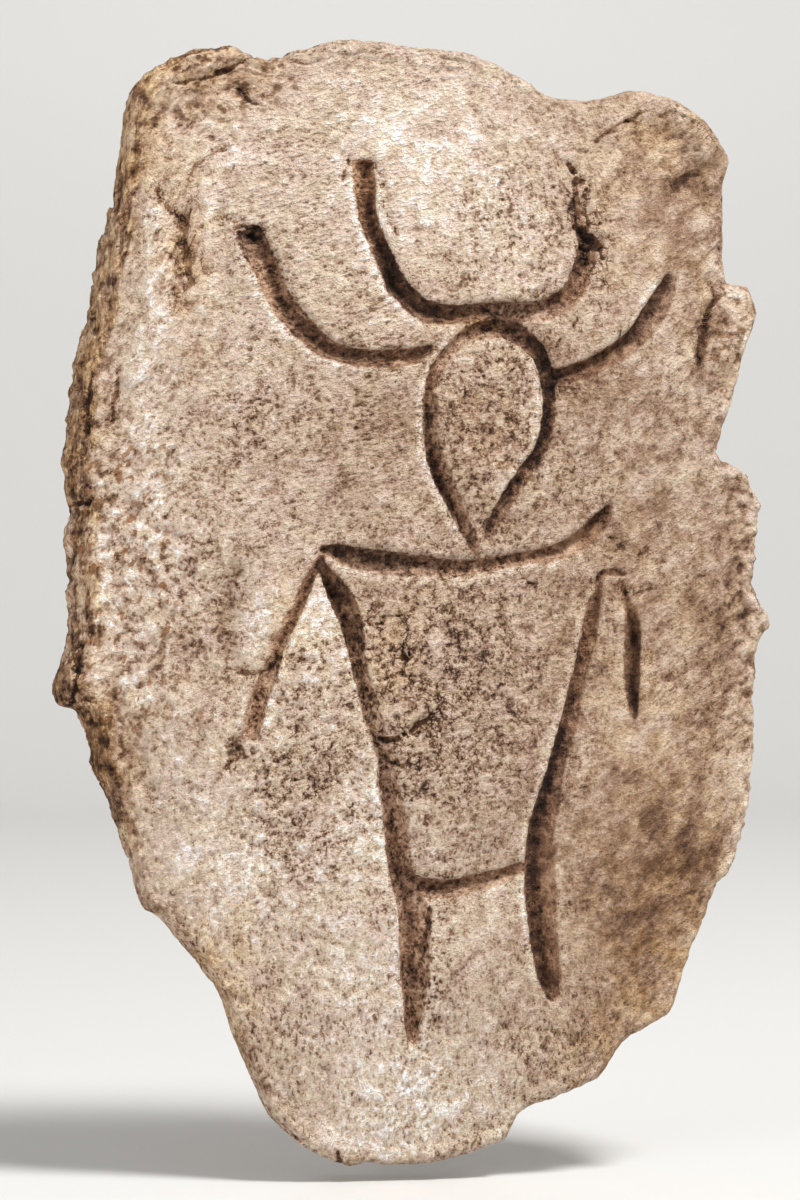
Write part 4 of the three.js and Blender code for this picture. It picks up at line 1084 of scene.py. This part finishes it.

# %% [markdown]
# ## Where the paint and the painted light lie
# On the real slab pale colour is dry-brushed over the high places and an umber wash has run
# into the low ones. That could be painted by hand on a texture. Here one number per point, the
# tone, says how pale or dark the finish is: soft clouds that are partly brushed paint and brown
# stain and partly painted light and painted shade, less the wash and painted shade in grooves and
# the dark in cracks. The material turns tone into colour.

# %% Pale and brown places, partly painted light and shade
# Middle, half width, half height and amount of each cloud: above 0 paler, below 0 browner.
# They are partly dry-brushed paint and brown stain and partly painted light and painted shade:
# paler at the top middle and on the left, browner over the right side.
CLOUDS = {
    "top middle": (-1.4, 95, 17, 20, 0.85),
    "between the horns": (9, 76, 14, 10, 0.3),
    "left column": (-59, 39, 6, 26, 0.4),
    "left middle": (-62, 15.6, 9, 10, 0.25),
    "left below the middle": (-66, -12, 7, 12, 0.35),
    "between arm and body": (-22.6, -7, 5, 13, 0.8),
    "lower left": (-45, -51.6, 10, 17, 0.7),
    "left of the leg": (-26.8, -62, 18, 14, 0.35),
    "beside the left foot": (-12, -81, 8, 12, 0.55),
    "bottom": (0.7, -106, 16, 10, 0.8),
    "bottom edge": (-9.9, -114.6, 10, 5, 0.5),
    "thighs": (11.4, -72, 9, 10, 0.25),
    "below the right arm": (38.5, -32, 6, 7, 0.4),
    "right of the horns": (45, 74, 10, 12, 0.15),
    "bulge beside the arm": (-36, -4, 4.5, 9, 0.5),
    "roll": (44.9, 96, 5, 4, 0.25),
    "left of the head": (-12, 34.3, 14, 14, -0.45),
    "head": (13.5, 38.5, 11, 16, -0.5),
    "right of the head": (39, 38.5, 12, 14, -0.3),
    "torso": (9.2, -18, 22, 28, -0.4),
    "torso middle": (5, -28.6, 12, 14, -0.05),
    "torso top": (4, -2, 18, 8, -0.25),
    "right of the body": (45, -56, 16, 26, -0.95),
    "right edge": (64, -3.4, 8, 22, -0.6),
    "right flake": (65, 54, 8, 12, -0.5),
    "upper right": (55, 88, 13, 12, -0.6),
    "top left lump": (-46, 110, 12, 7, -0.6),
    "inside the right arm": (36.8, 0.8, 10, 12, -0.2),
    "lower left edge": (-66.6, -28.9, 6, 9, -0.4),
    "left of the left horn": (-41.7, 34.3, 14, 12, -0.15),
    "clump beside the bulge": (-50.2, -9.7, 7, 7, -0.3),
    "lower right edge": (38.5, -92.5, 10, 10, -0.35),
    "clump left of the leg": (-26.8, -47.5, 8, 10, -0.15),
    "right of the inner horn": (28.3, 88.9, 8, 8, -0.15),
    "beside the head's top right": (28.5, 52, 3, 4, -0.6),
    "beyond the shoulder tip": (39.5, 14.5, 4, 4, -0.7),
    "between the horns and the head": (9, 59, 6, 1.5, -0.4),
    "brown patch at the left edge": (-60, 90, 5, 7, -0.5),
    "upper left": (-44, 88, 12, 14, 0.35),
    "left": (-50, 40, 14, 22, 0.15),
    "left of the leg's top": (-12.5, -44, 4, 11, 0.8),
    "below the right horn": (37, 46, 6, 3, -0.6),
    "clumps left of the leg": (-28, -38, 9, 10, -0.1),
    "under the roll": (60, 84, 9, 10, -0.5),
    "roll's top": (53, 103, 12, 5, -0.4),
    "left foot": (-20, -80, 12, 22, 0.3),
    "top left of the middle": (-28, 98, 12, 12, 0.25),
    "under the inner horns": (8, 68, 12, 5, -0.25),
    "right of the shoulders": (48, 20, 14, 14, -0.25),
    "inside the right hip": (40, -3, 8, 12, -0.2),
    "left edge above the notch": (-69, 32, 5, 16, -0.5),
    "left of the clumps": (-58, 8, 8, 12, -0.2),
    "arm end": (-40.8, -31.2, 2.6, 3.4, -0.5),
    "marks beside the bulge": (-42.3, 0.5, 1.6, 8, -0.35),
    "brown patch near the right edge": (65, -5, 3, 7, -0.45),
    "brown patch below it": (59.5, -23, 4, 6, -0.25),
    "pink patch right of the arm": (53, -18.5, 4, 8, 0.35),
    "pale rim at the right": (70, -42, 2.6, 8, 0.45),
    "pale rim further down": (66.5, -52, 2, 8, 0.4),
    "brown patch right of the hip": (57, -54, 6, 7, -0.95),
    "brown patch right of the leg": (46, -69, 6, 7, -0.45),
    "brown lower right rim": (57.5, -64, 4, 8, -0.25),
    "below the left horn": (-40, 55, 10, 8, 0.2),
    "beside the left horn": (-24, 68, 10, 8, 0.15),
    "upper left edge": (-53, 99, 8, 8, 0.25),
    "bottom middle": (-5, -104, 14, 10, 0.2),
    "left of the leg's foot": (-26, -62, 10, 10, 0.15),
    "right of the top middle": (7, 74, 8, 8, -0.2),
}
print("pale and brown places:", len(CLOUDS))

# %% Ochre, chalky and crazed places
# Where the pale colour has turned ochre
OCHRE = {
    "top left edge": (-62, 98, 6, 14, 0.9),
    "top left roll": (-50, 112, 14, 6, 0.8),
    "left crevices": (-50.5, 74, 4, 12, 0.8),
    "torso left": (-9, -10, 7, 13, 0.5),
    "lower left edge": (-68, -30, 6, 12, 0.9),
    "left arm": (-29, -4, 4, 9, 0.5),
    "roll": (54, 100, 12, 7, 0.4),
    "right flake": (66, 58, 7, 10, 0.3),
    "lower right": (58, -70, 12, 20, 0.4),
    "bottom left edge": (-44, -88, 7, 22, 0.8),
    "between horns and head": (9, 59, 6, 2, 0.8),
    "lower right edge": (45, -95, 12, 8, 0.5),
    "right side": (52, -35, 18, 40, 0.45),
    "left band": (-72, 60, 6, 30, 0.6),
    "right of the legs": (48, -78, 12, 14, 0.5),
    "upper right": (52, 80, 16, 20, 0.3),
    "head": (13, 34, 9, 12, 0.3),
}
# Where chalky crumbs and rust specks lie
CHALKY = {
    "left middle": (-63, 14, 9, 20, 1.0),
    "left below the middle": (-62, -12, 9, 12, 0.8),
    "left crevices": (-57, 66, 6, 16, 0.5),
    "beside the arm": (-48, -28, 8, 8, 0.4),
    "beside the lump hook": (-41, 107.5, 4, 3, 0.5),
}
# Where fine cracks craze the surface
CRAZED = {
    "torso left": (-4, -18, 10, 24, 1.0),
    "torso middle": (12, -22, 12, 20, 0.6),
    "head": (13, 37, 9, 15, 0.6),
    "beside the arm": (-27, -42, 10, 20, 0.9),
    "left crevices": (-50, 72, 8, 16, 0.5),
    "right of the inner horn": (36, 76, 6, 10, 0.8),
}
print("ochre, chalky and crazed places:", len(OCHRE), len(CHALKY), len(CRAZED))

# %% Tone of the finish, with painted light and shade
# Sizes in mm of the drifts of colour: broad, small, those of the smooth places and of the torn band
DRIFT_SIZES = (9, 3.2)
SMOOTH_DRIFT_SIZE = (11, 9, 6)
BAND_STREAK_SIZE = (1.2, 1.2, 9)
# How much each part changes the tone
TONE_MEAN = -0.07
FOLD_TONE = 0.6
SMOOTH_DRIFT_TONE = 1.4
RIGHT_CRUMB_TONE = 0.9
LOWER_LEFT_CRUMB_TONE = 0.6
CRUMB_TONE = 0.3
BAND_STREAK_TONE = 0.9
TORN_GAP_TONE = 1.3

# Paler on raised folds and high grain and darker in hollows and pits: partly brushed paint and wash,
# partly painted shading of the relief
tone = TONE_MEAN + clouds(CLOUDS) + FOLD_TONE * fold
tone += 0.25 * rough_noise(places / DRIFT_SIZES[0], 61, 2)
tone += 0.2 * rough_noise(places / DRIFT_SIZES[1], 63, 2)
slanted_places = np.stack([x + z, depth, z - x], axis=-1)
smooth_drift = rough_noise(slanted_places / SMOOTH_DRIFT_SIZE, 65, 4)
tone += SMOOTH_DRIFT_TONE * np.clip(clouds(SMOOTH), 0, 1) * smooth_drift
tone += CRUMB_TONE * crumbly * np.clip(crumbs, -1, 1)
tone += (0.2 + 0.2 * granular) * np.clip(pitting, 0, 1.0)
tone -= (0.4 + 0.5 * patchy) * np.minimum(pits, 1.2)
# A painted highlight along the crumbly right rim, brightest on the crumbs
right_rim_highlight = facing(angle, 0, 0.3, 0.8) * ease(-3, 1, across)
tone += right_rim_highlight * (0.2 + RIGHT_CRUMB_TONE * np.clip(crumbs, -0.5, 1))
lower_left_edge = facing(angle, 225, 0.6, 0.9) * ease(-3, 2, across)
tone += lower_left_edge * (LOWER_LEFT_CRUMB_TONE * np.clip(crumbs, -1, 1) - 0.5)
band_streaks = rough_noise(solid_places / BAND_STREAK_SIZE, 57, 2)
# The torn left side wall is darker, partly brown stain and partly painted shade, with streaks along
# its layers
tone += band * (BAND_STREAK_TONE * band_streaks - 0.7)
tone -= TORN_GAP_TONE * torn * ease(0.1, 0.9, -layers)
print("tone from", np.round(tone.min(), 1), "to", np.round(tone.max(), 1))

# %% [markdown]
# ## Numbers for the material
# The material has to know where it is on the slab. An image map would need an unwrapped copy of
# every mask. An attribute is simpler: one number stored on each point, which a material reads by
# name and which stays with the mesh when it is exported.

# %% Attributes for the material
# Grain runs aslant left of the first line above the first heights, and right of the second line
SLANT_LEFT_OF = (-38, -58)
SLANT_ABOVE = (-15, 15)
SLANT_RIGHT_OF = (35, 50)
SLANT_RIGHT = 0.8
CRACK_CRAZE = 0.6
BAND_OCHRE = 0.7

slanted = ease(*SLANT_LEFT_OF, x) * ease(*SLANT_ABOVE, z) + SLANT_RIGHT * ease(*SLANT_RIGHT_OF, x)

# Each attribute: its numbers for the front and side, and one for the back
ATTRIBUTES = {
    "tone": (tone, -0.37),
    "level_share": (0.5 + 0.5 * level - 0.5 * upright, 0.5),
    "slanted": (np.clip(slanted, 0, 1), 0),
    "patchy": (patchy, 0.5),
    "flecked": (flecked, 0.4),
    "granular": (granular, 0),
    "crumbly": (crumbly, 0),
    "crazed": (np.clip(CRACK_CRAZE * crack_near + clouds(CRAZED), 0, 1), 0),
    "band": (band, 0),
    "ochre": (np.clip(clouds(OCHRE) + BAND_OCHRE * band, 0, 1.2), 0.2),
    "chalky": (np.clip(clouds(CHALKY), 0, 1), 0),
    "groove_inside": (groove_inside, -FAR),
    "groove_dark": (groove_dark, 0),
    "groove_warm": (groove_warm, 0),
    "lip": (lip, 0),
    "crack_inside": (crack_inside, -FAR),
    "crack_dark": (crack_dark, 0),
}
for name, (values, behind) in ATTRIBUTES.items():
    padded = np.full(len(vertices), behind, np.float32)
    padded[:values.size] = values
    mesh.attributes.new(name, "FLOAT", "POINT").data.foreach_set("value", padded)
print("attributes:", len(ATTRIBUTES))

# %% [markdown]
# ## The stone's finish
# A stone material could be a photograph wrapped round the mesh. This one is worked out from
# noise in the slab's own coordinates, so it never stretches. A tone, stored on the points, is
# changed by mottling, grains, gaps between grains and thin cracks, and one colour ramp turns
# the sum into umber, brown, beige and cream. Each step is one node, and short helpers that add a
# node and link it read more easily than a picture of the whole tree.

# %% Material helpers
stone = bpy.data.materials.new("weathered_stone")
stone.use_nodes = True
nodes, links = stone.node_tree.nodes, stone.node_tree.links
shader = nodes["Principled BSDF"]
mesh.materials.append(stone)


def put(kind, inputs, output=0, **settings):
    """Adds a node, applies its settings, sets or links its inputs, and gives one output."""
    made = nodes.new("ShaderNode" + kind)
    for name, value in settings.items():
        setattr(made, name, value)
    for name, value in inputs.items():
        if isinstance(value, bpy.types.NodeSocket):
            links.new(value, made.inputs[name])
        else:
            made.inputs[name].default_value = value
    return made.outputs[output]


def calc(operation, first, second=0.0, third=0.0):
    """One step of arithmetic."""
    return put("Math", {0: first, 1: second, 2: third}, operation=operation)


def times(*values):
    """The product of several values."""
    product = values[0]
    for value in values[1:]:
        product = calc("MULTIPLY", product, value)
    return product


def total(*terms):
    """The sum of pairs of a value and its weight."""
    sum_so_far = calc("MULTIPLY", *terms[0])
    for value, weight in terms[1:]:
        sum_so_far = calc("MULTIPLY_ADD", value, weight, sum_so_far)
    return sum_so_far


def between(value, low, high, start=0.0, end=1.0):
    """Eases from start to end while the value goes from low to high."""
    return put("MapRange", {0: value, 1: low, 2: high, 3: start, 4: end},
               interpolation_type="SMOOTHSTEP")


def painted(name):
    """A number stored on the mesh's points."""
    return put("Attribute", {}, "Fac", attribute_name=name)


def blend(factor, first, second, mode="MIX"):
    """Mixes two colours."""
    return put("Mix", {0: factor, 6: first, 7: second}, 2, data_type="RGBA", blend_type=mode)


def colour(red, green, blue):
    """A colour given as 0..255 display values, turned into the linear values of a socket."""
    display = np.array([red, green, blue]) / 255
    linear = np.where(display <= 0.04045, display / 12.92, ((display + 0.055) / 1.055)**2.4)
    return (*linear, 1.0)


print("pure grey 128 in linear light:", np.round(colour(128, 128, 128)[0], 3))

# %% [markdown]
# ## Grains, gaps and cracks
# Close up, the stone is grains of half a millimetre to three, dark gaps between them, and in some
# places a net of hair cracks. They are too fine for the mesh. A photograph of stone would repeat,
# so they are noises, each stretched and turned as the grain runs there, on coordinates that are
# bent a little so that nothing lies straight.

# %% Bent coordinates
# Size of the bends, and how far grains and hair cracks are bent, in mm
BEND_SIZE = 2.4
GRAIN_BEND = 0.3
CRACK_BEND = 1.2

place = put("TexCoord", {}, "Object")
bend = put("TexNoise", {"Vector": place, "Scale": 1 / (BEND_SIZE * MM), "Detail": 2}, "Color")
bend = put("VectorMath", {0: bend, 1: (0.5, 0.5, 0.5)}, operation="SUBTRACT")


def bent(reach):
    """The slab's own coordinates, moved by the bend times twice a reach in mm."""
    return put("VectorMath", {0: bend, 1: (reach * 2 * MM,) * 3, 2: place}, operation="MULTIPLY_ADD")


grain_place = bent(GRAIN_BEND)


def scaled_place(size, stretch, turned, start):
    """Coordinates that grow by 1 in `size` mm, stretched along each axis and turned in the front."""
    spun = put("Mapping", {"Vector": start, "Rotation": (0, np.radians(turned), 0)})
    return put("Mapping", {"Vector": spun, "Scale": tuple(1 / (size * s * MM) for s in stretch)})


def grain(size, stretch, turned, detail, roughness, start=grain_place):
    """Noise round 0, with features of a size in mm, stretched and turned."""
    made = put("TexNoise", {"Vector": scaled_place(size, stretch, turned, start), "Scale": 1.0,
                            "Detail": detail, "Roughness": roughness}, "Fac")
    return calc("SUBTRACT", made, 0.5)


print("coordinates:", len(nodes), "nodes")

# %% Noises of the grain
# How much dust is in the grain, and what is left of the grain where the slab crumbles
DUST_IN_GRAIN = 0.4
CRUMBLY_GRAIN = 0.6

# Each noise: size in mm, stretch along x, y and z, turn in degrees, detail and roughness
level_grain = grain(1.0, (1.8, 1.4, 0.8), 13, 1.5, 0.6)
upright_grain = grain(0.95, (0.8, 1.4, 1.6), 5, 1.5, 0.6)
slanted_grain = grain(1.1, (1.7, 1.4, 0.85), 38, 2, 0.6)
mottle = grain(3.4, (1, 1, 1), 0, 5, 0.68)
dust = grain(0.4, (1, 1, 1), 0, 1, 0.6)
gravel = grain(1.1, (1, 1, 1), 0, 2, 0.65, place)
lumps = times(grain(2.3, (1.2, 1.3, 1), 30, 2, 0.5), painted("crumbly"))
blob = grain(3.6, (1, 1, 1.2), 20, 2, 0.5)
speck = grain(2.0, (0.8, 1, 1.4), -20, 1, 0.5)
fibre = grain(0.9, (0.8, 0.8, 7.0), 0, 3, 0.65, place)
grains_mixed = put("Mix", {0: painted("level_share"), 2: upright_grain, 3: level_grain})
grains_mixed = put("Mix", {0: painted("slanted"), 2: grains_mixed, 3: slanted_grain})
roughened = calc("MULTIPLY_ADD", dust, DUST_IN_GRAIN, grains_mixed)
roughened = times(roughened, between(painted("crumbly"), 0.3, 1.0, 1.0, CRUMBLY_GRAIN))
print("with the noises of the grain:", len(nodes), "nodes")

# %% Flecks, gaps and hair cracks
# A noise crosses the first number of each pair where a mark begins, and the second where it is full
GAP_EDGE = (-0.02, -0.11)
CRUMB_EDGE = (0.03, 0.12)
DARK_FLECK_EDGE = (-0.01, 0.07)
PALE_FLECK_EDGE = (0.04, 0.2)
HAIR_CRACK_EDGE = (0.08, 0.02)
# Grain below this is a dark fleck, where the slab isn't patchy and where it is
FLECK_LEVELS = (-0.15, -0.07)
# Gaps and hair cracks keep to the darker parts of the mottling
GAP_HOLLOW = (0.12, -0.08)
CRAZE_HOLLOW = (0.05, -0.04)
HAIR_CRACK_SIZE = 2.6
DUST_IN_CRACK = 0.2

fleck_level = between(painted("patchy"), 0.0, 1.0, *FLECK_LEVELS)
dark_fleck = between(calc("SUBTRACT", fleck_level, roughened), *DARK_FLECK_EDGE)
pale_fleck = between(roughened, *PALE_FLECK_EDGE)
gap = times(between(gravel, *GAP_EDGE), between(mottle, *GAP_HOLLOW), painted("granular"))
crumb = times(between(gravel, *CRUMB_EDGE), painted("granular"))
crack_place = scaled_place(HAIR_CRACK_SIZE, (1, 1, 1), 0, bent(CRACK_BEND))
hair_crack = put("TexVoronoi", {"Vector": crack_place, "Scale": 1.0}, "Distance",
                 feature="DISTANCE_TO_EDGE")
hair_crack = between(calc("MULTIPLY_ADD", dust, DUST_IN_CRACK, hair_crack), *HAIR_CRACK_EDGE)
craze = times(hair_crack, between(mottle, *CRAZE_HOLLOW), painted("crazed"))
print("with flecks, gaps and hair cracks:", len(nodes), "nodes")

# %% [markdown]
# ## Wash, painted shade, crumbs and colour
# On the real slab a dark wash has dried in every low place and pale paint has caught the high
# ones; in the grooves the dark also stands for painted shade, and the pale lips for a painted
# highlight. Grooves and cracks arrive here as a distance to their edge, so the material decides,
# finer than the mesh could, where the wash stops. Everything is first one sum, the tone, because
# paint on paint is easier to balance on a scale from dark to pale than in three colours.

# %% Wash and painted shade in grooves, dark in cracks
# Noise moves the wash's edge: by how many mm for dust and mottling in grooves, and dust in cracks
WASH_DUST = 0.7
WASH_MOTTLE = 0.5
CRACK_DUST = 0.9
# Between which distances inside the edge, in mm, the wash comes in
WASH_EDGE = (-0.1, 0.14)
CRACK_WASH_EDGE = (-0.08, 0.16)

ragged = calc("MULTIPLY_ADD", dust, WASH_DUST, times(mottle, WASH_MOTTLE))
in_groove = between(calc("ADD", painted("groove_inside"), ragged), *WASH_EDGE)
in_crack = calc("MULTIPLY_ADD", dust, CRACK_DUST, painted("crack_inside"))
in_crack = times(between(in_crack, *CRACK_WASH_EDGE), painted("crack_dark"))
# Dark in the grooves: the wash, partly painted shade
groove_wash_and_shade = times(in_groove, painted("groove_dark"), between(mottle, -0.2, 0.2, 1.15, 0.8))
# The pale lip line is a painted highlight
lip_highlight = times(painted("lip"), between(dust, -0.2, 0.1, 0.4, 1.0))
flakes = times(painted("chalky"), between(blob, 0.0, 0.09))
streak = times(fibre, painted("band"))
print("with the wash:", len(nodes), "nodes")

# %% Sum of the tones
# Each part with what it adds to the tone, above 0 paler and below 0 darker
# The lumps are paler on top and darker low down: a painted highlight and painted shade on the crumbs
tone_now = total((painted("tone"), 1.0), (mottle, 2.6), (roughened, 1.3), (gravel, 1.1),
                 (pale_fleck, 0.25), (times(dark_fleck, painted("flecked")), -1.1), (gap, -1.4),
                 (crumb, 0.5), (lumps, 2.8), (between(lumps, -0.05, -0.13), -0.7), (craze, -1.5),
                 (lip_highlight, 1.9), (flakes, 0.6), (streak, 4.0), (groove_wash_and_shade, -1.5), (in_crack, -2.1))

# The colour of each tone, as display values from 0 to 255
RAMP = {
    -4.0: (27, 20, 16), -2.6: (66, 47, 37), -1.6: (116, 88, 69), -0.8: (161, 132, 109),
    0.0: (199, 176, 156), 0.8: (222, 204, 185), 1.8: (238, 226, 211),
}
ramp = nodes.new("ShaderNodeValToRGB")
ramp_low, ramp_high = min(RAMP), max(RAMP)
links.new(put("MapRange", {0: tone_now, 1: ramp_low, 2: ramp_high}), ramp.inputs[0])
for index, (value, shown) in enumerate(RAMP.items()):
    at = (value - ramp_low) / (ramp_high - ramp_low)
    stop = ramp.color_ramp.elements[0] if index == 0 else ramp.color_ramp.elements.new(at)
    stop.position = at
    stop.color = colour(*shown)
ramp.color_ramp.elements.remove(ramp.color_ramp.elements[-1])
print("tones from", ramp_low, "to", ramp_high, "in", len(ramp.color_ramp.elements), "colours")

# %% Tints and stone shader
# Factors for red, green and blue, with 1 for the opacity
PINK_TINT = (1.015, 0.99, 1.02, 1)
CREAM_TINT = (1.005, 1.0, 0.95, 1)
CRACK_TINT = (1.1, 0.94, 0.78, 1)
COOL_WASH_TINT = (0.95, 0.96, 1.04, 1)
WARM_WASH_TINT = (1.13, 0.95, 0.79, 1)
OCHRE_TINT = (1.07, 0.95, 0.7, 1)
CHALK_TINT = (1.0, 1.0, 1.02, 1)
RUST = colour(150, 100, 62)
# In mm, the size of the drifts between pink and cream and the height of a bump of 1
HUE_SIZE = 6
BUMP_HEIGHT = 1.4
# Dry paint on stone hardly shines
STONE_ROUGHNESS = 0.9
STONE_SHINE = 0.2

hue = put("TexNoise", {"Vector": place, "Scale": 1 / (HUE_SIZE * MM), "Detail": 3,
                       "Roughness": 0.7}, "Fac")
tint = blend(between(hue, 0.38, 0.62), PINK_TINT, CREAM_TINT)
tint = blend(in_crack, tint, CRACK_TINT)
warmth = calc("MULTIPLY_ADD", painted("groove_warm"), 0.5, 0.5)
tint = blend(in_groove, tint, blend(warmth, COOL_WASH_TINT, WARM_WASH_TINT))
ochre_share = times(painted("ochre"), between(hue, 0.4, 0.6, 0.4, 1.0))
tint = blend(ochre_share, tint, OCHRE_TINT)
tint = blend(times(flakes, 0.8), tint, CHALK_TINT)
toned = blend(1.0, ramp.outputs["Color"], tint, "MULTIPLY")
rust = times(between(speck, 0.13, 0.19), between(painted("chalky"), 0.2, 0.6, 0.0, 0.8))
toned = blend(rust, toned, RUST)
links.new(toned, shader.inputs["Base Color"])

height = total((roughened, 1.0), (gravel, 0.8), (mottle, 1.2), (lumps, 1.2))
bump = put("Bump", {"Strength": 1.0, "Distance": BUMP_HEIGHT * MM, "Height": height})
links.new(bump, shader.inputs["Normal"])
shader.inputs["Roughness"].default_value = STONE_ROUGHNESS
shader.inputs["Specular IOR Level"].default_value = STONE_SHINE
print("stone material:", len(nodes), "nodes")

# %% [markdown]
# ## Floor and light
# The slab hangs over a plain pale floor. Big soft lamps could wash its relief out, so the key
# light is raised and off to the right, where it rakes over the front, and a weak fill from the
# left opens the side wall.

# %% Stage
# Metres: the floor reaches far to both sides and to the front, and curves up behind the slab
FLOOR_LEVEL = -0.1225
STAGE_HALF_WIDTH = 20.0
STAGE_FRONT = -20.0
COVE_START = 1.3
COVE_RADIUS = 0.7
COVE_STEPS = 25
WALL_TOP = 1.8
FLOOR_COLOUR = (0.72, 0.71, 0.69, 1)

cove_turn = np.linspace(0, np.pi / 2, COVE_STEPS)
profile_y = np.concatenate([[STAGE_FRONT], COVE_START + COVE_RADIUS * np.sin(cove_turn),
                            [COVE_START + COVE_RADIUS]])
profile_z = np.concatenate([[FLOOR_LEVEL], FLOOR_LEVEL + COVE_RADIUS * (1 - np.cos(cove_turn)),
                            [WALL_TOP]])
left_points = [(-STAGE_HALF_WIDTH, y, z) for y, z in zip(profile_y, profile_z)]
right_points = [(STAGE_HALF_WIDTH, y, z) for y, z in zip(profile_y, profile_z)]
steps = len(profile_y)
stage_faces = [(i, steps + i, steps + i + 1, i + 1) for i in range(steps - 1)]
floor_mesh = bpy.data.meshes.new("floor")
floor_mesh.from_pydata(left_points + right_points, [], stage_faces)
floor_mesh.shade_smooth()
floor = bpy.data.objects.new("floor", floor_mesh)
bpy.context.scene.collection.objects.link(floor)
pale = bpy.data.materials.new("pale_floor")
pale.use_nodes = True
pale.node_tree.nodes["Principled BSDF"].inputs["Base Color"].default_value = FLOOR_COLOUR
floor_mesh.materials.append(pale)
print("stage:", len(stage_faces), "faces")

# %% Lights
WORLD_STRENGTH = 0.36
# Place in metres, size and power of each lamp
LAMPS = {"key": ((0.8, -1.0, 2.1), 0.6, 72), "fill": ((-1.3, -1.1, 0.1), 0.8, 14)}

world = bpy.data.worlds.new("studio")
world.use_nodes = True
world.node_tree.nodes["Background"].inputs["Color"].default_value = (1, 1, 1, 1)
world.node_tree.nodes["Background"].inputs["Strength"].default_value = WORLD_STRENGTH
bpy.context.scene.world = world
bpy.context.scene.view_settings.view_transform = "Standard"


def soft_light(name, place, size, power):
    """A square area light that faces the slab's middle."""
    lamp = bpy.data.lights.new(name, "AREA")
    lamp.size = size
    lamp.energy = power
    light = bpy.data.objects.new(name, lamp)
    light.location = place
    light.rotation_euler = Vector(place).to_track_quat("Z", "Y").to_euler()
    bpy.context.scene.collection.objects.link(light)


for name, (spot, size, power) in LAMPS.items():
    soft_light(name, spot, size, power)
print("lamps:", len(LAMPS))
